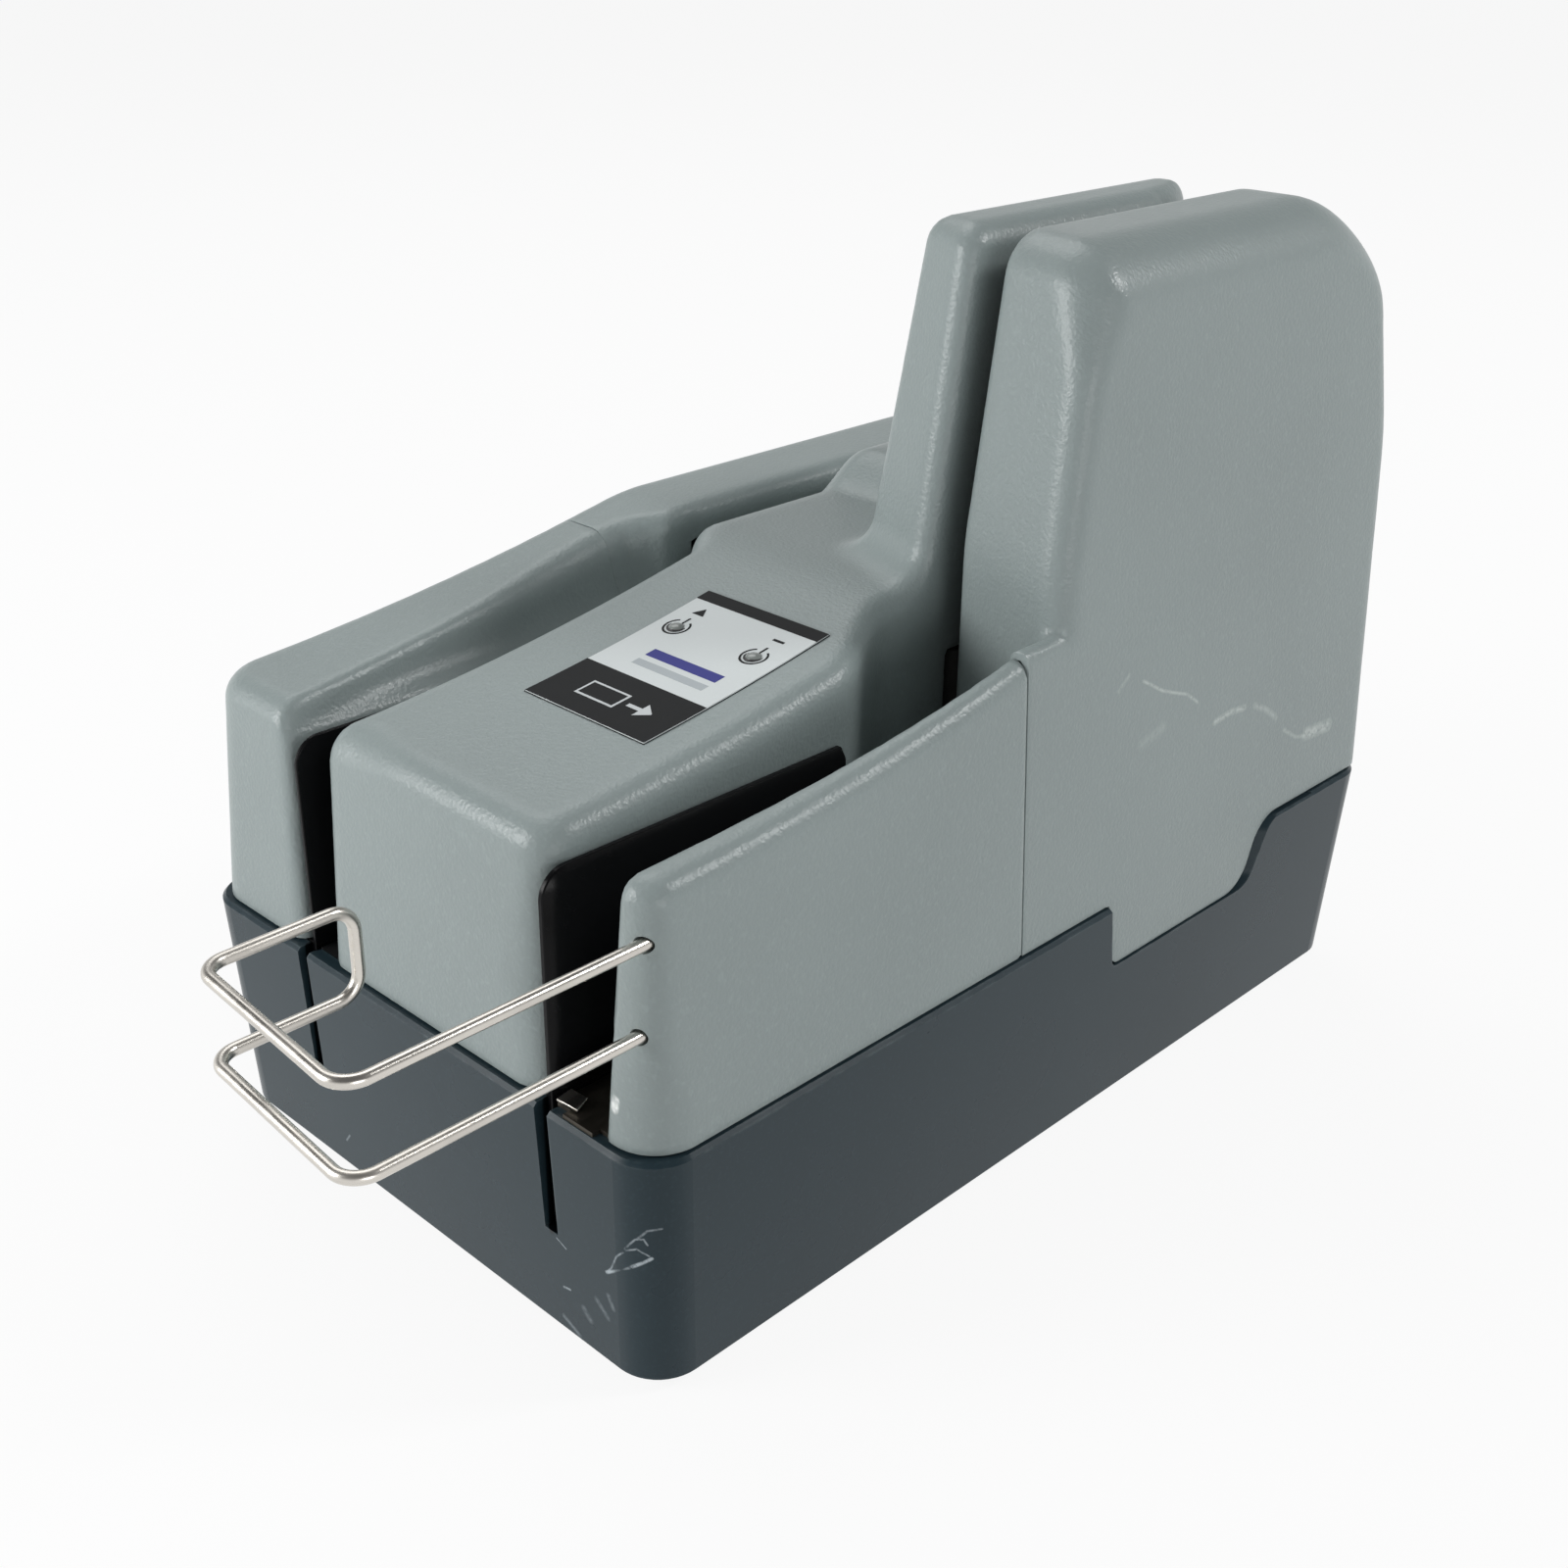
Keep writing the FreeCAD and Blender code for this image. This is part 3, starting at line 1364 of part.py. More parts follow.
def all_parts():
    feed, left, rear, exit_place = shaft_places()
    return [
        ("base_housing", base_housing), ("bottom_plate", bottom_plate), ("bottom_screws", bottom_screws),
        ("feet", feet), ("track_deck", track_deck), ("deck_screws", deck_screws),
        ("left_front_cover", left_front_cover), ("left_rear_cover", left_rear_cover),
        ("centre_cover", centre_cover), ("right_front_cover", right_front_cover),
        ("tower_cover", tower_cover), ("hinge_bracket", hinge_bracket), ("hinge_pin", hinge_pin),
        ("hopper_liner", lambda: liner(hopper_liner_x, hopper_liner_thickness, hopper_liner_rear_y)),
        ("exit_liner", lambda: liner(exit_liner_x, exit_liner_thickness, exit_liner_rear_y)),
        ("exit_floor", exit_floor), ("panel_label", panel_label), ("lamps", lamps),
        ("wire_stop", wire_stop), ("track_guide", track_guide), ("frame_plate", frame_plate),
        ("feed_shaft", lambda: drive_shaft(feed)), ("feed_tyres", lambda: tyres(feed)),
        ("feed_pulley", lambda: drive_pulley(feed)),
        ("left_shaft", lambda: drive_shaft(left)), ("left_tyres", lambda: tyres(left)),
        ("left_pulley", lambda: drive_pulley(left)),
        ("rear_shaft", lambda: drive_shaft(rear)), ("rear_tyres", lambda: tyres(rear)),
        ("rear_pulley", lambda: drive_pulley(rear)),
        ("exit_shaft", lambda: drive_shaft(exit_place)), ("exit_tyres", lambda: tyres(exit_place)),
        ("exit_pulley", lambda: drive_pulley(exit_place)),
        ("motor", motor), ("motor_shaft", motor_shaft), ("motor_pulley", motor_pulley),
        ("drive_belt", drive_belt), ("bushes", bushes), ("bearing_plate", bearing_plate),
        ("left_idler", lambda: idler(idler_left_x, turn_roller_y)),
        ("left_idler_bracket", lambda: idler_bracket(idler_left_x, turn_roller_y, -1)),
        ("rear_idler", lambda: idler(idler_right_x, turn_roller_y)),
        ("rear_idler_bracket", lambda: idler_bracket(idler_right_x, turn_roller_y, 1)),
        ("exit_idler", lambda: idler(idler_right_x, exit_roller_y)),
        ("exit_idler_bracket", lambda: idler_bracket(idler_right_x, exit_roller_y, 1)),
        ("feed_arm", feed_arm), ("feed_pad", feed_pad), ("arm_post", arm_post),
        ("inner_scan_bar", inner_scan_bar), ("outer_scan_bar", outer_scan_bar),
        ("inner_glass", lambda: bar_glass(block_right_x - cover_wall, inner_bar_y)),
        ("outer_glass", lambda: bar_glass(frame_plate_x - glass_thickness, outer_bar_y)),
        ("read_head", read_head), ("head_bracket", head_bracket),
        ("ink_cartridge", ink_cartridge), ("cartridge_holder", cartridge_holder),
        ("circuit_board", circuit_board), ("usb_socket", usb_socket), ("power_socket", power_socket),
        ("catch_magnets", catch_magnets),
    ]


def main():
    os.makedirs("parts", exist_ok=True)
    for name, make in all_parts():
        shape = make().copy()
        shape.translate(frame_shift)
        shape.exportStep("parts/" + name + ".step")


main()
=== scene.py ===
import bpy
import bmesh
import json
import math
import numpy as np
from mathutils import Vector, Matrix


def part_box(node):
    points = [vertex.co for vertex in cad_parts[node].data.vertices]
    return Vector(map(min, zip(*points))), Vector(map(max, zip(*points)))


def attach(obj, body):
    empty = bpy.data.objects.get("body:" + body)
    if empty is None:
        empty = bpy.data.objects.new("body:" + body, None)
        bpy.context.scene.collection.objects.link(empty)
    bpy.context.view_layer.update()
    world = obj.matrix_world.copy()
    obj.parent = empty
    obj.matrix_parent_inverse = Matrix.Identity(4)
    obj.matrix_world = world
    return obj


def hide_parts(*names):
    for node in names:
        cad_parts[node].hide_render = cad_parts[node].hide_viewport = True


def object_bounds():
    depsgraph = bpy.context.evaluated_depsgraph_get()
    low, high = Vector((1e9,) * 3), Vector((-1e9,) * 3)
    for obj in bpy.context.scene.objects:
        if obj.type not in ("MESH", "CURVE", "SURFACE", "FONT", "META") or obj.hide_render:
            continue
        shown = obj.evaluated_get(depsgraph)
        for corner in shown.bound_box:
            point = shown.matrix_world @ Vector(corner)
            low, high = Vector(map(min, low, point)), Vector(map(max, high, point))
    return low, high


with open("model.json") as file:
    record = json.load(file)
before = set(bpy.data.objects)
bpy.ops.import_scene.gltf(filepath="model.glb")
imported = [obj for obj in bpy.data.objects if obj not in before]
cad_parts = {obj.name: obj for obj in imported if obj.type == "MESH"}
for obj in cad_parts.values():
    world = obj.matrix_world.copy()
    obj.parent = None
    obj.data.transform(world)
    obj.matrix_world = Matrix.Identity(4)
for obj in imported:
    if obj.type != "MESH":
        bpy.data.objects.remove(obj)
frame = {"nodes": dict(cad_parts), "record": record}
cad_low, cad_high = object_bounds()
nodes = frame["nodes"]
scene = bpy.context.scene
MM = 0.001

# Drawing coordinates in mm: x and y from the centre of the base, z from its underside.
base_low, base_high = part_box("base_housing")
origin = Vector(((base_low.x + base_high.x) / 2, (base_low.y + base_high.y) / 2, base_low.z))


def at(x, y, z):
    return origin + Vector((x, y, z)) * MM


# Materials


class Finish:
    """A procedural material: a Principled shader with helpers that add textures in object space."""

    def __init__(self, name, colour, roughness=0.5, **sockets):
        self.material = bpy.data.materials.new(name)
        self.material.use_nodes = True
        self.tree = self.material.node_tree
        self.shader = self.tree.nodes["Principled BSDF"]
        self.shader.inputs["Base Color"].default_value = (*colour, 1)
        self.shader.inputs["Roughness"].default_value = roughness
        for socket, value in sockets.items():
            self.shader.inputs[socket.replace("_", " ")].default_value = value
        self.place = self.tree.nodes.new("ShaderNodeTexCoord").outputs["Object"]
        self.height = None

    def node(self, kind, **values):
        made = self.tree.nodes.new("ShaderNode" + kind)
        for key, value in values.items():
            setattr(made, key, value)
        return made

    def link(self, source, target):
        self.tree.links.new(source, target)

    def stretched(self, scale):
        mapping = self.node("Mapping")
        mapping.inputs["Scale"].default_value = scale
        self.link(self.place, mapping.inputs["Vector"])
        return mapping.outputs["Vector"]

    def noise(self, scale, detail=2.0, rough=0.5, place=None):
        made = self.node("TexNoise")
        made.inputs["Scale"].default_value = scale
        made.inputs["Detail"].default_value = detail
        made.inputs["Roughness"].default_value = rough
        self.link(place or self.place, made.inputs["Vector"])
        return made.outputs["Fac"]

    def span(self, source, low, high, to_low=0.0, to_high=1.0):
        made = self.node("MapRange", clamp=True)
        for key, value in (("From Min", low), ("From Max", high), ("To Min", to_low), ("To Max", to_high)):
            made.inputs[key].default_value = value
        self.link(source, made.inputs["Value"])
        return made.outputs["Result"]

    def maths(self, operation, a, b):
        made = self.node("Math", operation=operation)
        for i, value in enumerate((a, b)):
            if isinstance(value, (int, float)):
                made.inputs[i].default_value = value
            else:
                self.link(value, made.inputs[i])
        return made.outputs["Value"]

    def vector(self, operation, a, b=None, scale=None, output="Vector"):
        made = self.node("VectorMath", operation=operation)
        for i, value in ((0, a), (1, b), (3, scale)):
            if isinstance(value, bpy.types.NodeSocket):
                self.link(value, made.inputs[i])
            elif value is not None:
                made.inputs[i].default_value = value
        return made.outputs[output]

    def stroke(self, points, width, soft=0.5):
        """1 along a line of drawing points, fading out over the soft part of its width in mm."""
        total = None
        for start, end in zip(points, points[1:]):
            start, run = at(*start), at(*end) - at(*start)
            offset = self.vector("SUBTRACT", self.place, start)
            share = self.span(self.vector("DOT_PRODUCT", offset, run / run.length_squared, output="Value"), 0, 1)
            away = self.vector("SUBTRACT", offset, self.vector("SCALE", run, scale=share))
            away = self.vector("LENGTH", away, output="Value")
            part = self.span(away, width * (1 - soft) * MM, width * MM, 1, 0)
            total = part if total is None else self.maths("MAXIMUM", total, part)
        return total

    def blend(self, socket, kind, first, result, mask, value):
        """Blend a socket of the shader towards a value where the mask is high."""
        target = self.shader.inputs[socket]
        mix = self.node("Mix", data_type=kind)
        if target.is_linked:
            self.link(target.links[0].from_socket, mix.inputs[first])
        else:
            mix.inputs[first].default_value = target.default_value
        mix.inputs[first + 1].default_value = value
        self.link(mask, mix.inputs[0])
        self.link(mix.outputs[result], target)
        return self

    def tint(self, mask, colour):
        return self.blend("Base Color", "RGBA", 6, 2, mask, (*colour, 1))

    def gloss(self, mask, roughness):
        return self.blend("Roughness", "FLOAT", 2, 0, mask, roughness)

    def bump(self, height, strength, distance):
        made = self.node("Bump")
        made.inputs["Strength"].default_value = strength
        made.inputs["Distance"].default_value = distance
        self.link(height, made.inputs["Height"])
        if self.height:
            self.link(self.height, made.inputs["Normal"])
        self.height = made.outputs["Normal"]
        self.link(self.height, self.shader.inputs["Normal"])
        return self

    def edges(self, radius, colour, amount):
        """Wear on edges: where the rounded normal leaves the true one."""
        bevel = self.node("Bevel", samples=4)
        bevel.inputs["Radius"].default_value = radius
        normal = self.node("NewGeometry").outputs["Normal"]
        dot = self.vector("DOT_PRODUCT", bevel.outputs["Normal"], normal, output="Value")
        mask = self.span(dot, 0.995, 0.9, 0.0, amount)
        mask = self.maths("MULTIPLY", mask, self.span(self.noise(220, 3), 0.42, 0.62))
        return self.tint(mask, colour)


def plastic(name, colour, roughness, grain, depth, shade=0.06, **sockets):
    """Moulded plastic: cloudy colour, fine grain, and handling marks that change the gloss."""
    made = Finish(name, colour, roughness, **sockets)
    darker = tuple(c * (1 - shade * 2) for c in colour)
    lighter = tuple(min(1, c * (1 + shade) + shade * 0.02) for c in colour)
    made.tint(made.span(made.noise(14, 3), 0.35, 0.7, 0, 0.8), darker)
    made.tint(made.span(made.noise(grain * 0.6, 1), 0.55, 0.75, 0, 0.6), lighter)
    made.gloss(made.span(made.noise(38, 4, 0.6), 0.48, 0.7, 0, 0.7), roughness * 0.9)
    return made.bump(made.noise(grain, 1.5), 0.35, depth)


def metal(name, colour, roughness, brush=(1, 1, 1), lines=900, depth=0.00003):
    """Bare or plated metal with brushed or turned lines and dull patches."""
    made = Finish(name, colour, roughness, Metallic=1.0)
    duller = tuple(c * 0.72 for c in colour)
    made.tint(made.span(made.noise(60, 4), 0.42, 0.75, 0, 0.7), duller)
    strokes = made.noise(lines, 2, 0.6, made.stretched(brush))
    made.gloss(made.span(strokes, 0.35, 0.7, 0, 1), min(1, roughness * 1.6))
    return made.bump(strokes, 0.3, depth)


def rubber(name, colour, roughness=0.75):
    made = Finish(name, colour, roughness)
    made.tint(made.span(made.noise(50, 4), 0.5, 0.75, 0, 0.5), tuple(c * 1.6 + 0.02 for c in colour))
    made.gloss(made.span(made.noise(300, 2), 0.4, 0.6), roughness * 0.8)
    return made.bump(made.noise(2600, 2), 0.5, 0.00006)


def marks(made, strokes, colour, grit):
    """Pale worn strokes: (points, width, soft, amount), broken up by fine grit."""
    broken = made.span(made.noise(grit, 3, 0.7), 0.30, 0.55)
    for points, width, soft, amount in strokes:
        mask = made.maths("MULTIPLY", made.stroke(points, width, soft), broken)
        mask = made.maths("MULTIPLY", mask, amount)
        made.tint(mask, colour)
        made.gloss(mask, 0.7)
    return made


cover = plastic("cover grey", (0.257, 0.301, 0.298), 0.36, 1400, 0.00034, 0.05, Specular_IOR_Level=0.44)
cover.bump(cover.noise(420, 1), 0.12, 0.0001)
cover.edges(0.0012, (0.36, 0.41, 0.40), 0.35)
# Scuffs on the side of the outer tower, then a chip at the foot of the narrow front cover
marks(cover, [
    ([(59.1, 11.6, 88.4), (59.0, 14.4, 90.4)], 0.7, 0.9, 0.30),
    ([(59.2, 19.0, 88.1), (59.4, 25.5, 84.3), (59.5, 33.7, 81.2), (59.7, 37.2, 78.6)], 0.45, 0.9, 0.55),
    ([(60.0, 43.7, 72.6), (60.0, 48.8, 73.1), (60.0, 54.0, 72.5)], 0.9, 1.0, 0.60),
    ([(60.0, 57.6, 71.9), (60.2, 62.1, 69.7), (60.3, 66.1, 66.8)], 0.9, 1.0, 0.40),
    ([(60.5, 69.6, 63.0), (60.7, 74.5, 60.0), (60.8, 80.4, 58.6)], 0.6, 0.9, 0.40),
    ([(60.7, 78.4, 59.4), (60.8, 87.4, 58.6)], 1.8, 0.8, 0.60),
    ([(59.8, 19.4, 75.6), (59.8, 26.1, 77.0)], 1.6, 1.0, 0.18),
    ([(60.0, 30.0, 95.0), (60.2, 52.0, 91.0), (60.4, 66.0, 92.0)], 0.5, 1.0, 0.10),
], (0.62, 0.67, 0.64), 900)
marks(cover, [([(52.5, -101.7, 52.2), (52.7, -101.7, 53.7)], 1.1, 0.4, 1.0)], (0.86, 0.88, 0.86), 300)
slate = plastic("base slate", (0.019, 0.035, 0.044), 0.28, 2200, 0.000008, 0.10, Specular_IOR_Level=0.2)
slate.edges(0.0008, (0.14, 0.17, 0.18), 0.4)
# Shade inside the two slots of the front face, then scratches and scuffs round its right corner
for x in (-29.7, 36.9):
    slate.tint(slate.stroke([(x, -101.2, 21), (x, -101.2, 46)], 2.0, 0.1), (0.002, 0.003, 0.004))
marks(slate, [
    ([(50.4, -103.0, 20.5), (56.6, -102.4, 25.1), (58.9, -101.0, 27.0)], 0.42, 0.6, 0.95),
    ([(50.6, -103.0, 20.8), (51.6, -103.1, 22.0), (53.2, -103.2, 25.4), (55.3, -103.0, 27.7),
      (57.1, -102.4, 28.6), (58.7, -101.3, 27.5)], 0.24, 0.7, 0.65),
    ([(54.2, -102.9, 26.8), (55.8, -103.0, 28.9), (57.0, -102.6, 30.5), (58.2, -101.9, 30.8),
      (58.6, -101.5, 29.7)], 0.24, 0.7, 0.6),
    ([(57.2, -102.4, 30.6), (58.8, -101.6, 32.6), (60.3, -100.0, 33.0)], 0.3, 0.8, 0.5),
    ([(38.1, -103.0, 20.1), (40.3, -102.9, 19.2)], 0.22, 0.6, 0.6),
    ([(38.8, -102.6, 10.3), (40.4, -102.6, 10.7)], 0.3, 0.6, 0.8),
    ([(47.2, -102.7, 12.9), (49.7, -102.6, 10.6)], 0.8, 0.9, 0.30),
    ([(50.4, -102.8, 15.6), (51.3, -102.7, 13.5)], 0.7, 0.9, 0.30),
    ([(43.7, -102.5, 8.7), (45.1, -102.4, 7.2)], 0.9, 0.9, 0.30),
    ([(38.0, -102.2, 3.6), (41.9, -102.2, 1.8)], 0.6, 0.9, 0.40),
    ([(31.2, -102.1, 0.6), (33.0, -102.1, 0.6)], 0.5, 0.5, 0.7),
    ([(-24.2, -102.4, 6.6), (-22.8, -102.4, 8.4)], 0.3, 0.8, 0.5),
], (0.40, 0.45, 0.48), 700)
finishes = {
    "cover_grey": cover,
    "base_slate": slate,
    "deck_black": plastic("deck black", (0.012, 0.012, 0.013), 0.42, 1600, 0.00005),
    "liner_black": plastic("liner black", (0.003, 0.003, 0.0035), 0.24, 1800, 0.00003, Specular_IOR_Level=0.12),
    "panel_white": plastic("panel white", (0.60, 0.64, 0.64), 0.42, 2500, 0.00001, 0.03),
    "lamp_clear": plastic("lamp clear", (0.22, 0.24, 0.23), 0.16, 1200, 0.00001, Coat_Weight=0.4),
    "wire_nickel": metal("wire nickel", (0.66, 0.63, 0.58), 0.22, (1, 0.1, 1), 260, 0.000002),
    "floor_metal": metal("floor metal", (0.10, 0.09, 0.075), 0.38, (1, 0.08, 1), 900),
    "sheet_steel": metal("sheet steel", (0.56, 0.56, 0.57), 0.34, (1, 0.1, 1), 700),
    "screw_steel": metal("screw steel", (0.45, 0.45, 0.45), 0.32, (1, 1, 0.1), 900),
    "shaft_steel": metal("shaft steel", (0.62, 0.62, 0.63), 0.2, (1, 1, 8), 500, 0.00001),
    "foot_rubber": rubber("foot rubber", (0.015, 0.015, 0.015)),
    "roller_rubber": rubber("roller rubber", (0.035, 0.034, 0.032)),
    "belt_rubber": rubber("belt rubber", (0.012, 0.012, 0.012), 0.6),
    "pulley_nylon": plastic("pulley nylon", (0.62, 0.60, 0.53), 0.45, 900, 0.00003),
    "pulley_brass": metal("pulley brass", (0.62, 0.42, 0.16), 0.25, (1, 1, 8), 600),
    "bush_bronze": metal("bush bronze", (0.42, 0.24, 0.11), 0.45, (1, 1, 4), 1200),
    "motor_can": metal("motor can", (0.50, 0.50, 0.49), 0.3, (1, 1, 6), 600),
    "bar_glass": plastic("bar glass", (0.10, 0.13, 0.12), 0.06, 1500, 0.000002),
    "head_metal": metal("head metal", (0.62, 0.62, 0.61), 0.12, (1, 8, 1), 700, 0.000008),
    "cartridge_grey": plastic("cartridge grey", (0.022, 0.022, 0.024), 0.3, 1500, 0.00002),
    "board_green": plastic("board green", (0.012, 0.075, 0.035), 0.25, 900, 0.00003),
    "socket_metal": metal("socket metal", (0.66, 0.66, 0.65), 0.25, (1, 0.2, 1), 900),
    "socket_black": plastic("socket black", (0.012, 0.012, 0.012), 0.4, 1600, 0.00003),
    "magnet_metal": metal("magnet metal", (0.25, 0.25, 0.27), 0.3, (1, 1, 1), 900),
}
for part in frame["record"]["subparts"]:
    mesh = nodes[part["node"]].data
    mesh.materials.clear()
    mesh.materials.append(finishes[part["material_slot"]].material)

# Shells of the covers
#
# Each cover is written as a signed distance in drawing millimetres, negative inside, and turned into a thin
# shell: a quad net on its outer surface, cut along trim lines, with an inner skin and a rim.

# SEAM is the top of the base, LOW the lower border of the covers, STEP the cell size of the nets.
SEAM = 45.4
LOW = 45.8
TOWER_TOP = 165
SIDE_X, FRONT_Y, REAR_Y = 61.5, -102.5, 103.5
SIDE_SLOPE, FRONT_SLOPE, INNER_SLOPE = 0.055, 0.060, 0.045
PARTING_Y, PARTING_GAP = -14.8, 0.4
LEFT_PARTING_Y = -19.2
TURN_X, TURN_Y = -2.5, 62
HINGE_X, HINGE_Y = 30.0, 106.85
LIP_HEIGHT = 96
COVER_THICK, THIN = 2.2, 1.6
STEP = 1.3


def edge(a, b, r, k=0.0):
    """Both forms at once, with a rounded edge; k is the cosine between their outward directions."""
    u, v = a + r, b + r
    p, q = (u - k * v) / (1 - k * k), (v - k * u) / (1 - k * k)
    turned = np.sqrt(np.maximum(p * p + q * q + 2 * k * p * q, 0)) - r
    return np.where((p > 0) & (q > 0), turned, np.maximum(a, b))


def fill(a, b, r):
    """Either form, with a hollow fillet between them."""
    return -edge(-a, -b, r)


def ramp(t, w):
    """0 before a soft bend of half-width w, and t after it."""
    return np.where(t < -w, 0, np.where(t > w, t, (t + w) ** 2 / (4 * w)))


def ease(t):
    t = np.clip(t, 0, 1)
    return t * t * (3 - 2 * t)


def roof(y, z, points, bends, lift=0.0):
    """Distance above a line of (y, z) points with soft bends, level after the last one."""
    slopes = [(b[1] - a[1]) / (b[0] - a[0]) for a, b in zip(points, points[1:])] + [0]
    top = points[0][1] + slopes[0] * (y - points[0][0]) + lift
    slope = slopes[0] + 0 * y
    for i, w in enumerate(bends):
        change = slopes[i + 1] - slopes[i]
        t = y - points[i + 1][0]
        top = top + change * ramp(t, w)
        slope = slope + change * np.clip((t + w) / (2 * w), 0, 1)
    return (z - top) / np.sqrt(1 + slope * slope)


def side_wall(x, z):
    return np.abs(x) - (SIDE_X - SIDE_SLOPE * ramp(z - SEAM, 3.0))


def front_wall(y, z):
    return (-y + FRONT_Y + FRONT_SLOPE * (z - SEAM)) * 0.998


def walls(x, y, z):
    """Tapered block round all the covers."""
    return edge(edge(side_wall(x, z), front_wall(y, z), 8.6), y - REAR_Y, 8.6)


def turn_radius(x, y):
    """Distance from the middle of the track's turn."""
    return np.hypot(x - TURN_X, y - TURN_Y)


# Tops of the covers as (y, z) points, and the width of the finger hollow at each SCOOP_Y
LEFT_LINE = [(-120, 87.85), (-53, 93.2), (-3.5, 103.1)]
RIGHT_LINE = [(-120, 89.9), (-56, 92.0), (-10, 102.4)]
ISLAND_LINE = [(-120, 89.2), (-55, 94.05), (-13, 103.4)]
SCOOP_Y = (-120, -98, -72, -50, -35, -22, -15, -11, -8, -5)
SCOOP_WIDE = (0.3, 1.5, 4.2, 5.8, 7.6, 8.8, 8.0, 5.4, 2.2, 0.3)


def left_inner(x, y, z):
    """Inner wall of the low covers: sloping beside the entry, then a lip round the turn."""
    sloping = -32 - INNER_SLOPE * (z - SEAM)
    limit = sloping + (-37 - sloping) * ease((y + 10.0) / 7.0)
    return np.where(y < TURN_Y, (x - limit) * 0.93, 34.5 - turn_radius(x, y))


def left_form(x, y, z):
    """Low covers of the entry side: sloping inner wall with a finger hollow, then a lip round the turn."""
    over = roof(y, z, LEFT_LINE, (36, 5))
    block = edge(walls(x, y, z), over, 4.5)
    inner = left_inner(x, y, z)
    aside, behind = x - HINGE_X, y - HINGE_Y
    swing = np.minimum(np.hypot(aside, behind) - 26.3, 0.81 * aside - 0.587 * behind)
    inner = np.maximum(inner, np.where(y > TURN_Y, swing, -99))
    block = edge(block, inner, 2.4 + 1.2 * ease((y + 12) / 8))
    top = z - over
    wide = np.interp(y, SCOOP_Y, SCOOP_WIDE)
    deep = np.maximum(top - 85.0, 1.5)
    u = (x - (-32 - INNER_SLOPE * (top - SEAM))) / wide
    v = (z - top) / deep
    q = np.hypot(u, v)
    hollow = (q - 1) * q / np.maximum(np.hypot(u / wide, v / deep), 1e-6)
    return np.where(y < 0, edge(block, -hollow, 1.6 + 2.2 * ease((y + 70) / 45), -0.2), block)


def right_form(x, y, z):
    """Narrow front cover of the exit side."""
    inner = 50.0 + 1.9 * ease((y + 95) / 76) + INNER_SLOPE * (z - SEAM) - x
    top = roof(y, z, RIGHT_LINE, (40, 4))
    outside = edge(edge(side_wall(x, z), front_wall(y, z), 8.6 - 3.6 * ease((z - 50) / 18)), top, 3.6)
    return edge(outside, inner, 1.9)


def centre_form(x, y, z):
    """Centre block: sloping top, raised rear and the inner tower that flows out of them."""
    lift = 6.6 * ease((y - 25.0) / 13.0)
    top = roof(y, z, ISLAND_LINE, (40, 7), lift)
    front = -4.6 + 0.38 * (26 - x) + 0.157 * ramp(z - 107, 6.0)
    facing = (front - y) * 0.92
    left = 5.5 + 0.10 * (z - 105) - x
    tower = edge(edge(facing, left, 3.6, 0.35), z - TOWER_TOP, 4.5)
    tower = edge(tower, y - 79.5, 6.0)
    form = fill(top, tower, 7.0)
    left_x = -23.8 - 7.2 * ease((y + 18) / 13)
    right_x = 35.5 - 9.5 * ease((y + 36) / 24)
    turn = turn_radius(x, y) - 28.5
    right_side = np.where(y > TURN_Y, turn, (x - right_x) * 0.93)
    left_side = np.where(y > TURN_Y, turn, (left_x - x) * 0.93)
    plan = edge(edge(right_side, front_wall(y, z), 6.0), left_side, 4.6)
    return edge(form, plan, 4.6 + 2.6 * ease(-x / 16) * ease((118 - z) / 8))


def tower_line(x, y, z):
    """Side outline of the outer tower: leaning front, rounded brow and a big curve at the rear."""
    facing = (-1.0 - 0.20 * (x - 31) + 0.155 * ramp(z - 112, 4.0) - y) * 0.97
    slant = 0.9802 * (y - REAR_Y) + 0.1981 * (z - 118)
    rear = edge(edge(z - TOWER_TOP, slant, 25.0, 0.1981), y - REAR_Y, 60.0, 0.9802)
    return edge(facing, rear, 8.5, 0.15)


def tower_form(x, y, z):
    """Outer tower, and the short end of the rail before it."""
    side = side_wall(x, z)
    body = edge(edge(tower_line(x, y, z), 31 - x, 3.0), side, 5.4 + 6.4 * ease((z - 142) / 20))
    stub = edge(edge(z - 102.4, 51.9 + INNER_SLOPE * (z - SEAM) - x, 1.9), side, 1.9)
    return fill(body, np.maximum(stub, y - 25), 0.9 * ease((-side - 1) / 2) + 0.02)


def tab_line(y, z):
    """Lower border of the outer tower cover: the seam, and a tab that hangs below it."""
    fore = -0.982 * (y - 11.4) - 0.188 * (z - SEAM)
    rear = 0.9386 * (y - 58) - 0.345 * (z - 31.8)
    tab = edge(edge(fore, 31.8 - z, 2.0), rear, 5.0)
    return fill(LOW - z, tab, 0.3 + 4.7 * ease((y - 35) / 10))


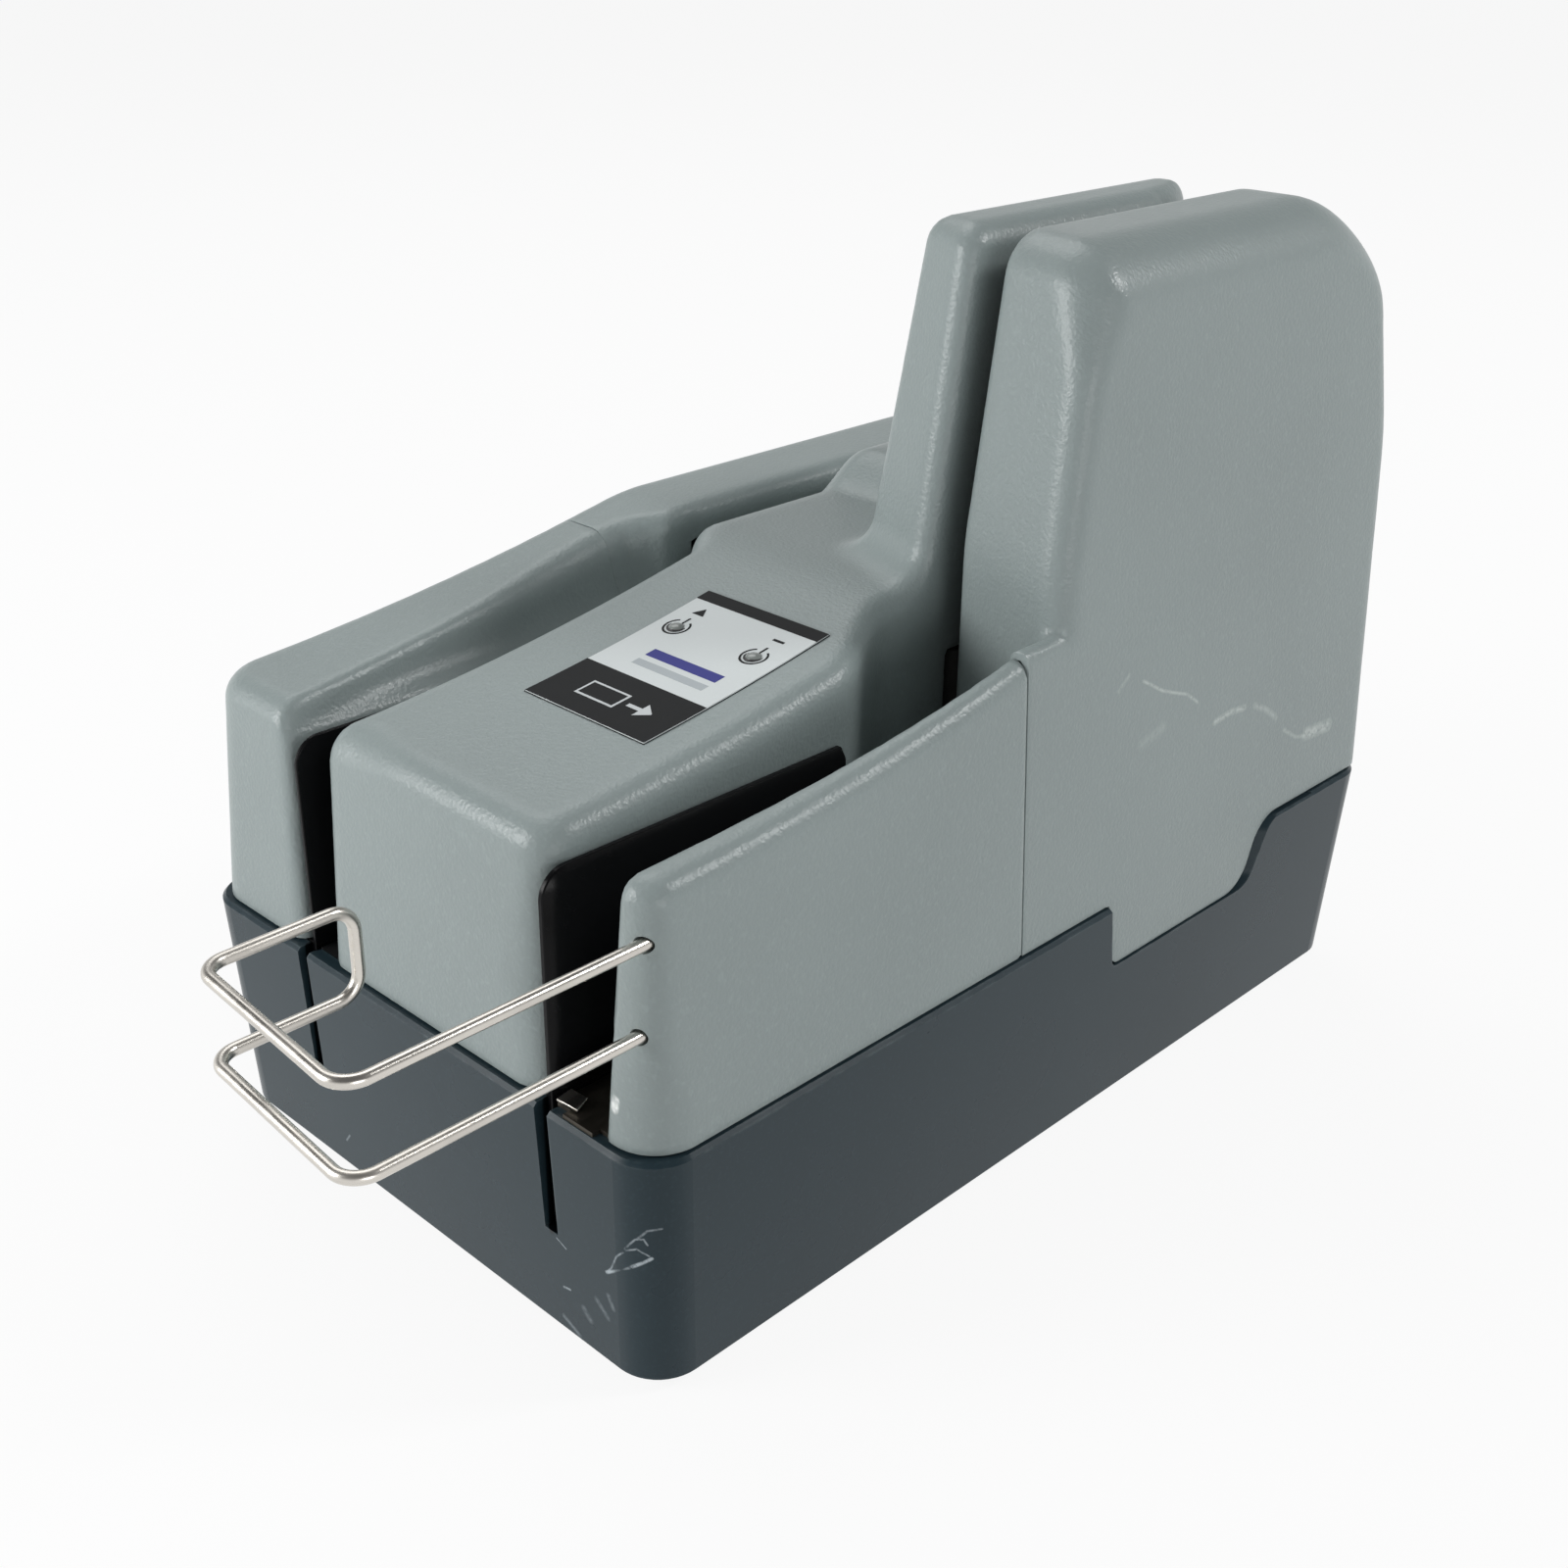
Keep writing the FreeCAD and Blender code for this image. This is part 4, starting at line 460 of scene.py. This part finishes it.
def net(form, low, high):
    """Quad net on the surface of a form, by one point in each grid cell that the surface crosses."""
    axes = [np.arange(a, b + STEP, STEP) for a, b in zip(low, high)]
    f = form(*np.meshgrid(*axes, indexing="ij"))
    cells = [n - 1 for n in f.shape]
    size = cells[0] * cells[1] * cells[2]
    count = np.zeros(size)
    sums = np.zeros((3, size))
    quads = []
    for axis in range(3):
        u, v = (axis + 1) % 3, (axis + 2) % 3
        one, two = [slice(None)] * 3, [slice(None)] * 3
        one[axis], two[axis] = slice(0, -1), slice(1, None)
        a, b = f[tuple(one)], f[tuple(two)]
        where = np.argwhere((a < 0) != (b < 0))
        fa, fb = a[tuple(where.T)], b[tuple(where.T)]
        place = where.astype(float)
        place[:, axis] += fa / (fa - fb)
        keep = (where[:, u] > 0) & (where[:, u] < cells[u]) & (where[:, v] > 0) & (where[:, v] < cells[v])
        where, place, outward = where[keep], place[keep], (fa < 0)[keep]
        loop = []
        for du, dv in ((0, 0), (1, 0), (1, 1), (0, 1)):
            cell = where.copy()
            cell[:, u] -= du
            cell[:, v] -= dv
            flat = (cell[:, 0] * cells[1] + cell[:, 1]) * cells[2] + cell[:, 2]
            loop.append(flat)
            count += np.bincount(flat, minlength=size)
            for k in range(3):
                sums[k] += np.bincount(flat, weights=place[:, k], minlength=size)
        loop = np.stack(loop, 1)
        loop[~outward] = loop[~outward][:, ::-1]
        quads.append(loop)
    used = np.flatnonzero(count)
    number = np.full(size, -1)
    number[used] = np.arange(len(used))
    points = (sums[:, used] / count[used]).T * STEP + np.array(low)
    return points, number[np.concatenate(quads)]


def slope_of(form, points):
    h = 0.02
    steps = np.eye(3) * h
    return np.stack([(form(*(points + d).T) - form(*(points - d).T)) / (2 * h) for d in steps], 1)


def settle(form, points, level=0.0, rounds=3):
    """Move points along the slope of a form until it has the given value there."""
    for i in range(rounds):
        slope = slope_of(form, points)
        off = form(*points.T) - level
        points = points - slope * (off / np.maximum((slope ** 2).sum(1), 0.05))[:, None]
    return points


def rim_edges(quads):
    """Directed edges that only one quad uses."""
    pairs = np.concatenate([quads[:, [i, (i + 1) % 4]] for i in range(4)])
    key = np.sort(pairs, 1)
    first, count = np.unique(key, axis=0, return_index=True, return_counts=True)[1:]
    return pairs[first[count == 1]]


def placed(name, mesh, body, material, replaced, bevel, angle):
    """Object of a finished mesh that rides on a body, with softened edges where they turn by the angle."""
    mesh.materials.append(material.material)
    made = bpy.data.objects.new(name, mesh)
    scene.collection.objects.link(made)
    if bevel:
        modifier = made.modifiers.new("soft edge", "BEVEL")
        modifier.width = bevel * MM
        modifier.segments = 2
        modifier.limit_method = "ANGLE"
        modifier.angle_limit = math.radians(angle)
    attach(made, body)
    if replaced:
        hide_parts(*replaced)
    return made


def shell(name, form, low, high, cut, thick, body, material, *replaced, bevel=0.3):
    """Thin cover on the surface of a form, kept where the cut form is negative."""
    points, quads = net(form, low, high)
    points = settle(form, points)
    centres = points[quads].mean(1)
    quads = quads[cut(*centres.T) < 0]
    border = np.unique(rim_edges(quads))
    for i in range(3):
        points[border] = settle(cut, points[border], 0.0, 1)
        points[border] = settle(form, points[border], 0.0, 1)
    points[border] = settle(cut, points[border], 0.0, 1)
    used = np.unique(quads)
    number = np.full(len(points), -1)
    number[used] = np.arange(len(used))
    points, quads = points[used], number[quads]
    inner = settle(form, points, -thick, 5)
    rim = rim_edges(quads)
    edge_points = np.unique(rim)
    normal = slope_of(form, points[edge_points])
    normal /= np.linalg.norm(normal, axis=1)[:, None]
    inner[edge_points] = points[edge_points] - normal * thick
    n = len(points)
    faces = np.concatenate([quads, quads[:, ::-1] + n,
                            np.stack([rim[:, 1], rim[:, 0], rim[:, 0] + n, rim[:, 1] + n], 1)])
    mesh = bpy.data.meshes.new(name)
    mesh.from_pydata([tuple(at(*p)) for p in np.concatenate([points, inner])], [], faces.tolist())
    mesh.update()
    mesh.shade_smooth()
    return placed(name, mesh, body, material, replaced, bevel, 62)


def window(x, y, z, centre, size):
    """Above 0 inside a box-shaped window."""
    return -np.maximum.reduce([np.abs(v - c) - s / 2 for v, c, s in zip((x, y, z), centre, size)])


def left_gap(x):
    """Half of the parting gap: the joint closes up towards the finger hollow."""
    return PARTING_GAP / 2 - 0.18 * ease((x + 49.0) / 4.0)


def left_front_cut(x, y, z):
    return np.maximum(LOW - z, y - LEFT_PARTING_Y + left_gap(x))


def rail_cut(x, y, z):
    return np.maximum(LOW - z, y - PARTING_Y + PARTING_GAP / 2)


def left_rear_cut(x, y, z):
    lip = np.minimum(np.minimum(LIP_HEIGHT - z, y + 1.8), left_inner(x, y, z) + 1.5)
    ends = np.maximum(LEFT_PARTING_Y + left_gap(x) - y, x - 29.8)
    return np.maximum(np.maximum(LOW - z, ends), lip)


def centre_cut(x, y, z):
    """Below the seam and in the windows for the tyres, the inner scanning bar and the read head."""
    gone = LOW - z
    for wall in (-31, 26):
        for roller in (12, 50):
            for tyre in (59, 82):
                gone = np.maximum(gone, window(x, y, z, (wall, roller, tyre), (8, 18, 14)))
    gone = np.maximum(gone, window(x, y, z, (26, 33, 102.5), (8, 8, 104.4)))
    return np.maximum(gone, window(x, y, z, (-31, 31, 54), (8, 8.6, 12.6)))


def tower_cut(x, y, z):
    border = np.where(x > 56, tab_line(y, z), LOW - z)
    opening = np.maximum(63.4 - y, LIP_HEIGHT - z)
    side = np.minimum(31.6 - x, np.minimum(-3.2 - tower_line(31, y, z), opening))
    return np.maximum(np.maximum(border, PARTING_Y + PARTING_GAP / 2 - y), side)


shell("low_cover_front", left_form, (-64, -105, 43), (-25, -12, 106), left_front_cut, COVER_THICK, "housing",
      cover, "left_front_cover", bevel=0.1)
shell("low_cover_rear", left_form, (-64, -22, 43), (33, 106, 106), left_rear_cut, COVER_THICK, "rear_lid",
      cover, "left_rear_cover", bevel=0.1)
rail = shell("rail_cover", right_form, (47, -105, 43), (64, -12, 105), rail_cut, THIN, "housing", cover,
             "right_front_cover")
shell("block_cover", centre_form, (-34, -105, 43), (38, 93, 168), centre_cut, COVER_THICK, "housing", cover,
      "centre_cover")
shell("tower_shell", tower_form, (29, -18, 28), (65, 106, 168), tower_cut, THIN, "tower_lid", cover,
      "tower_cover")


# Pieces on the covers


def closed_mesh(name, points, faces):
    """Mesh from drawing millimetres, its faces turned outwards."""
    mesh = bpy.data.meshes.new(name)
    mesh.from_pydata([tuple(at(*p)) for p in points], [], faces)
    work = bmesh.new()
    work.from_mesh(mesh)
    bmesh.ops.recalc_face_normals(work, faces=work.faces)
    work.to_mesh(mesh)
    work.free()
    return mesh


def solid(name, points, faces, body, material, *replaced, bevel=0.0):
    """Closed piece, smooth but for edges over 40 degrees."""
    mesh = closed_mesh(name, points, faces)
    mesh.shade_smooth()
    mesh.set_sharp_from_angle(angle=math.radians(40))
    return placed(name, mesh, body, material, replaced, bevel, 40)


def swept(outline, low, high, place):
    """Points and faces of a prism: place(u, v, w) puts an outline point at depth w."""
    n = len(outline)
    points = [place(u, v, w) for w in (low, high) for u, v in outline]
    sides = [(i, (i + 1) % n, (i + 1) % n + n, i + n) for i in range(n)]
    return points, sides + [tuple(range(n))[::-1], tuple(range(n, 2 * n))]


def arc(u, v, radius, start, stop, count):
    turns = [math.radians(start + (stop - start) * i / count) for i in range(count + 1)]
    return [(u + radius * math.cos(t), v + radius * math.sin(t)) for t in turns]


def turned(profile, count=40):
    """Points and faces of a body turned about z from (radius, height) pairs, closed at its two ends."""
    n = len(profile)
    points = [(r * math.cos(2 * math.pi * i / count), r * math.sin(2 * math.pi * i / count), z)
              for i in range(count) for r, z in profile]
    faces = []
    for i in range(count):
        a, b = i * n, (i + 1) % count * n
        faces += [(a + k, b + k, b + k + 1, a + k + 1) for k in range(n - 1)]
    faces.append(tuple(i * n for i in range(count))[::-1])
    faces.append(tuple(i * n + n - 1 for i in range(count)))
    return points, faces


def liner(name, inner, outer, rear, chamfer, node):
    """Glossy liner beside the centre block: an upright plate with a rounded, chamfered nose and a foot."""
    front, top, foot = -101.6, 85.6, 23.0

    def outline(inset):
        nose = arc(front + 5, top - 5, 5 - inset, 180, 90, 12)
        return nose + [(rear, top - inset), (rear, SEAM), (front + 11, SEAM), (front + 11, foot),
                       (front + inset, foot)]
    step = inner + (outer - inner) * 0.45
    layers = [(inner, outline(0)), (step, outline(0)), (outer, outline(chamfer))]
    n = len(layers[0][1])
    points = [(x, u, v) for x, ring in layers for u, v in ring]
    faces = [(i + k * n, (i + 1) % n + k * n, (i + 1) % n + (k + 1) * n, i + (k + 1) * n)
             for k in range(2) for i in range(n)]
    faces += [tuple(range(n))[::-1], tuple(range(2 * n, 3 * n))]
    return solid(name, points, faces, "housing", finishes["liner_black"], node, bevel=0.18)


liner("exit_side_liner", 35.8, 38.0, -36.5, 1.9, "exit_liner")
liner("entry_side_liner", -28.8, -30.6, -42.0, 1.4, "hopper_liner")


KNUCKLE_LOW, KNUCKLE_PITCH, KNUCKLE_HEIGHT = 36.6, 9.2, 8.8
BARREL_RADIUS, PIN_BORE_RADIUS = 2.6, 1.36


def knuckle(name, level, side, body):
    """Barrel and leaf of one hinge knuckle, bored for the pin."""
    low = KNUCKLE_LOW + KNUCKLE_PITCH * level
    high = low + KNUCKLE_HEIGHT
    x, y = HINGE_X, HINGE_Y
    outer = arc(x, y, BARREL_RADIUS, -90, 270, 48)[:-1]
    bore = arc(x, y, PIN_BORE_RADIUS, -90, 270, 48)[:-1]
    n = len(outer)
    points = [(u, v, z) for z in (low, high) for u, v in outer + bore]
    faces = []
    for i in range(n):
        j = (i + 1) % n
        faces += [(i, j, j + 2 * n, i + 2 * n), (j + n, i + n, i + 3 * n, j + 3 * n),
                  (j, i, i + n, j + n), (i + 2 * n, j + 2 * n, j + 3 * n, i + 3 * n)]
    solid(name, points, faces, body, cover)
    inward, outward = x + side * 0.3, x + side * 22.0
    web = x + side * BARREL_RADIUS
    leaf = [(inward, 103.3), (inward, 104.3), (web, y), (web, 104.7), (outward, 104.7), (outward, 103.3)]
    points, faces = swept(leaf, low, high, lambda u, v, w: (u, v, w))
    solid(name + "_leaf", points, faces, body, cover, bevel=0.25)


for level, side, body in ((1, 1, "tower_lid"), (2, -1, "rear_lid"), (3, 1, "tower_lid"), (4, -1, "rear_lid")):
    knuckle("hinge_knuckle_%d" % level, level, side, body)


# Panel: a pale foil on the slope of the block, its printed bands and marks, and two domed lamps

inks = {
    # The dark ink is also the painted shadow round the edges of the foil.
    "dark": plastic("ink dark", (0.016, 0.017, 0.018), 0.55, 2500, 0.000008, 0.05, Specular_IOR_Level=0.1),
    "blue": plastic("ink blue", (0.028, 0.032, 0.22), 0.4, 2500, 0.000008, 0.05, Specular_IOR_Level=0.2),
    "grey": plastic("ink grey", (0.36, 0.40, 0.42), 0.32, 2500, 0.000008, 0.05),
    "light": plastic("ink light", (0.52, 0.55, 0.56), 0.32, 2500, 0.000008, 0.05),
}


def foil(name, rows, low, high, material, *replaced, bevel=0.0):
    """Thin sheet that follows the block's slope: rows of (x, y) points, between two heights above it."""
    first_guess = 95.0
    across, count = len(rows[0]), len(rows)
    flat = np.array([p for row in rows for p in row], float)
    start = np.column_stack([flat, first_guess + 0 * flat[:, 0]])
    points = []
    for level in (low, high):
        height = start.copy()
        for i in range(12):
            height[:, 2] -= centre_form(*height.T) - level
        points.append(height)
    n = across * count
    faces = []
    for r in range(count - 1):
        for c in range(across - 1):
            a = r * across + c
            faces.append((a, a + across, a + across + 1, a + 1))
            faces.append((a + n, a + n + 1, a + n + across + 1, a + n + across))
    for c in range(across - 1):
        last = (count - 1) * across + c
        faces += [(c, c + 1, c + 1 + n, c + n), (last + 1, last, last + n, last + 1 + n)]
    for r in range(count - 1):
        a, b = r * across, (r + 1) * across
        end, after = a + across - 1, b + across - 1
        faces += [(b, a, a + n, b + n), (end, after, after + n, end + n)]
    return solid(name, np.concatenate(points).tolist(), faces, "housing", material, *replaced, bevel=bevel)


def bar(x0, x1, y0, y1, step=3.0):
    """Rows of points of a rectangle on the foil."""
    across = max(1, round((x1 - x0) / step))
    along = max(1, round((y1 - y0) / step))
    return [[(x0 + (x1 - x0) * i / across, y0 + (y1 - y0) * j / along) for i in range(across + 1)]
            for j in range(along + 1)]


def loop(x, y, inner, outer, start, stop, count):
    """Rows of points of a curved band round a place."""
    return [[(x + r * math.cos(t), y + r * math.sin(t)) for r in (outer, inner)]
            for t in (math.radians(start + (stop - start) * i / count) for i in range(count + 1))]


# Heights above the slope: the print on the foil, and the print over it
PRINT = (0.30, 0.36)
OVERPRINT = (0.34, 0.40)
LAMP_X, LAMP_Y = (0.4, 19.8), -40.6
foil("panel_foil", bar(-4.4, 25.6, -71.0, -28.2), -0.15, 0.32, finishes["panel_white"], "panel_label", bevel=0.06)
# Painted shadow: a dark sheet just larger than the foil and under it, so a dark line shows along the gap round
# the foil.
foil("panel_edge", bar(-4.55, 25.75, -71.15, -28.05), -0.1, 0.10, inks["dark"])
foil("panel_front_band", bar(-4.42, 25.62, -71.02, -57.2), *PRINT, inks["dark"])
foil("panel_rear_band", bar(-4.42, 25.62, -31.2, -28.18), *PRINT, inks["dark"])
foil("panel_blue_stripe", bar(3.2, 20.6, -50.6, -48.2), *PRINT, inks["blue"])
foil("panel_grey_stripe", bar(3.2, 20.6, -53.8, -52.0), *PRINT, inks["grey"])
foil("panel_slip_mark", bar(3.0, 12.5, -66.5, -61.8), *OVERPRINT, inks["light"])
foil("panel_slip_inside", bar(3.5, 12.0, -66.0, -62.3), 0.38, 0.43, inks["dark"])
foil("panel_arrow_shaft", bar(14.0, 17.4, -64.6, -63.7), *OVERPRINT, inks["light"])
foil("panel_arrow_head", [[(17.2, -66.2), (17.2, -62.1)], [(19.8, -64.3), (19.8, -64.0)]], *OVERPRINT,
     inks["light"])
lens_points, lens_faces = [], []
for side, x in zip(("left", "right"), LAMP_X):
    foil("ring_" + side, loop(x, LAMP_Y, 2.25, 2.65, 122, 418, 40), *PRINT, inks["dark"])
    foil("ring_stem_" + side, bar(x - 0.2, x + 0.2, -39.4, -37.2), 0.30, 0.37, inks["dark"])
    top = float(settle(centre_form, np.array([[x, LAMP_Y, 97.0]]), 0.32)[0, 2])
    dome = [(0.15, 0.62), (0.6, 0.58), (1.0, 0.47), (1.35, 0.28), (1.55, 0.05), (1.58, -0.3), (1.58, -7.4),
            (0.4, -7.4)]
    points, faces = turned([(r, top + h) for r, h in dome])
    lens_faces += [tuple(i + len(lens_points) for i in face) for face in faces]
    lens_points += [(x + u, LAMP_Y + v, z) for u, v, z in points]
    seat = [(1.60, -0.5), (1.60, 0.10), (1.66, 0.14), (1.80, 0.12), (1.86, 0.0), (1.86, -0.5), (1.60, -0.5)]
    points, faces = turned([(r, top + h) for r, h in seat])
    walls_only = faces[:-2]
    solid("lens_seat_" + side, [(x + u, LAMP_Y + v, z) for u, v, z in points], walls_only, "housing",
          finishes["deck_black"])
solid("lamp_lenses", lens_points, lens_faces, "housing", finishes["lamp_clear"], "lamps")
foil("feed_mark", [[(-1.0, -35.6), (1.8, -35.6)], [(0.35, -33.4), (0.45, -33.4)]], *PRINT, inks["dark"])
foil("ready_mark", bar(18.5, 21.1, -34.9, -34.3), *PRINT, inks["dark"])

# Small bright tab on the floor of the exit pocket
tab = [(38.4, -101.9), (43.1, -101.6), (42.2, -98.7), (38.4, -98.9)]
points, faces = swept(tab, 0.0, 0.4, lambda u, v, w: (u, v, 46.5 + 0.16 * (v + 101.9) + w))
solid("exit_floor_tab", points, faces, "housing", finishes["wire_nickel"], bevel=0.08)


# Bores of the rail cover for the wire, cut into the finished shell


def bored(made, x, heights, radius):
    """Cut bores along y into a piece and keep their edges crisp."""
    cutters = []
    middle_y, reach = -88.0, 30.0
    for k, height in enumerate(heights):
        ring = [(0.02, -reach), (radius, -reach), (radius, reach), (0.02, reach)]
        points, faces = turned(ring, 32)
        mesh = closed_mesh("bore", [(x + u, middle_y + w, height + v) for u, v, w in points], faces)
        cutter = bpy.data.objects.new("bore_%d" % k, mesh)
        scene.collection.objects.link(cutter)
        modifier = made.modifiers.new("bore", "BOOLEAN")
        modifier.object = cutter
        modifier.solver = "EXACT"
        cutters.append(cutter)
    bpy.context.view_layer.update()
    done = bpy.data.meshes.new_from_object(made.evaluated_get(bpy.context.evaluated_depsgraph_get()))
    made.modifiers.clear()
    made.data = done
    done.set_sharp_from_angle(angle=math.radians(50))
    for cutter in cutters:
        bpy.data.objects.remove(cutter)


WIRE_X, WIRE_HEIGHTS = 57.0, (81.4, 66.4)
bored(rail, WIRE_X, WIRE_HEIGHTS, 1.4)


# Floor, light and camera


def seen_rays(tree, share):
    """A share for camera, glossy and transmission rays, and 0 for the rest."""
    path = tree.nodes.new("ShaderNodeLightPath")
    total = path.outputs["Is Camera Ray"]
    for name in ("Is Glossy Ray", "Is Transmission Ray"):
        either = tree.nodes.new("ShaderNodeMath")
        either.operation = "MAXIMUM"
        tree.links.new(total, either.inputs[0])
        tree.links.new(path.outputs[name], either.inputs[1])
        total = either.outputs["Value"]
    scaled = tree.nodes.new("ShaderNodeMath")
    scaled.operation = "MULTIPLY"
    scaled.inputs[1].default_value = share
    tree.links.new(total, scaled.inputs[0])
    return scaled.outputs["Value"]


floor_mesh = bpy.data.meshes.new("floor")
floor_mesh.from_pydata([(-6, -6, 0), (6, -6, 0), (6, 6, 0), (-6, 6, 0)], [], [(0, 1, 2, 3)])
floor = bpy.data.objects.new("floor", floor_mesh)
floor.location = (0, 0, cad_low.z - 0.0002)
scene.collection.objects.link(floor)
pale = bpy.data.materials.new("pale floor")
pale.use_nodes = True
tree = pale.node_tree
tree.nodes.clear()
matt = tree.nodes.new("ShaderNodeBsdfDiffuse")
matt.inputs["Color"].default_value = (0.80, 0.80, 0.80, 1)
white = tree.nodes.new("ShaderNodeEmission")
white.inputs["Color"].default_value = (1, 1, 1, 1)
white.inputs["Strength"].default_value = 1.0
blend = tree.nodes.new("ShaderNodeMixShader")
tree.links.new(seen_rays(tree, 0.9), blend.inputs["Fac"])
tree.links.new(matt.outputs["BSDF"], blend.inputs[1])
tree.links.new(white.outputs["Emission"], blend.inputs[2])
tree.links.new(blend.outputs["Shader"], tree.nodes.new("ShaderNodeOutputMaterial").inputs["Surface"])
floor_mesh.materials.append(pale)

world = bpy.data.worlds.new("studio")
scene.world = world
world.use_nodes = True
tree = world.node_tree
tree.nodes.clear()
room = tree.nodes.new("ShaderNodeBackground")
room.inputs["Color"].default_value = (0.97, 0.985, 1.0, 1)
room.inputs["Strength"].default_value = 0.34
backdrop = tree.nodes.new("ShaderNodeBackground")
backdrop.inputs["Color"].default_value = (1, 1, 1, 1)
sky = tree.nodes.new("ShaderNodeTexCoord").outputs["Generated"]
split = tree.nodes.new("ShaderNodeSeparateXYZ")
fade = tree.nodes.new("ShaderNodeMapRange")
for key, value in (("From Min", 0.02), ("From Max", 0.5), ("To Min", 1.0), ("To Max", 0.15)):
    fade.inputs[key].default_value = value
tree.links.new(sky, split.inputs["Vector"])
tree.links.new(split.outputs["Z"], fade.inputs["Value"])
tree.links.new(fade.outputs["Result"], backdrop.inputs["Strength"])
blend = tree.nodes.new("ShaderNodeMixShader")
tree.links.new(seen_rays(tree, 1.0), blend.inputs["Fac"])
tree.links.new(room.outputs["Background"], blend.inputs[1])
tree.links.new(backdrop.outputs["Background"], blend.inputs[2])
tree.links.new(blend.outputs["Shader"], tree.nodes.new("ShaderNodeOutputWorld").inputs["Surface"])


def softbox(name, place, aim, width, height, power):
    lamp = bpy.data.lights.new(name, "AREA")
    lamp.shape = "RECTANGLE"
    lamp.size = width
    lamp.size_y = height
    lamp.energy = power
    made = bpy.data.objects.new(name, lamp)
    made.location = place
    made.rotation_mode = "QUATERNION"
    made.rotation_quaternion = (Vector(aim) - Vector(place)).to_track_quat("-Z", "Y")
    scene.collection.objects.link(made)


softbox("front light", (-0.40, -0.70, 0.34), (0, 0, 0.05), 0.42, 0.40, 4.7)
softbox("top light", (-0.75, 0.35, 1.25), (0, 0, 0.05), 0.9, 0.9, 5.5)
softbox("side light", (1.5, -0.45, 0.30), (0, 0, 0.08), 0.8, 0.5, 4.3)
softbox("edge light", (0.72, 0.76, 0.95), (0.02, 0, 0.10), 0.20, 0.20, 6.2)

camera_data = bpy.data.cameras.new("camera")
camera_data.sensor_width = 36.0
camera_data.lens = 44.52
camera_data.clip_start = 0.01
camera = bpy.data.objects.new("camera", camera_data)
scene.collection.objects.link(camera)
azimuth, elevation, roll = (math.radians(v) for v in (44.26923, 25.87305, 0.63811))
back = Vector((math.sin(azimuth) * math.cos(elevation), -math.cos(azimuth) * math.cos(elevation),
               math.sin(elevation)))
right = (-back).cross(Vector((0, 0, 1))).normalized()
up = right.cross(-back)
across = right * math.cos(roll) + up * math.sin(roll)
above = up * math.cos(roll) - right * math.sin(roll)
camera.matrix_world = Matrix.Translation(at(237.752, -256.478, 222.885)) @ Matrix(
    (across, above, back)).transposed().to_4x4()
scene.camera = camera
scene.view_settings.view_transform = "Standard"
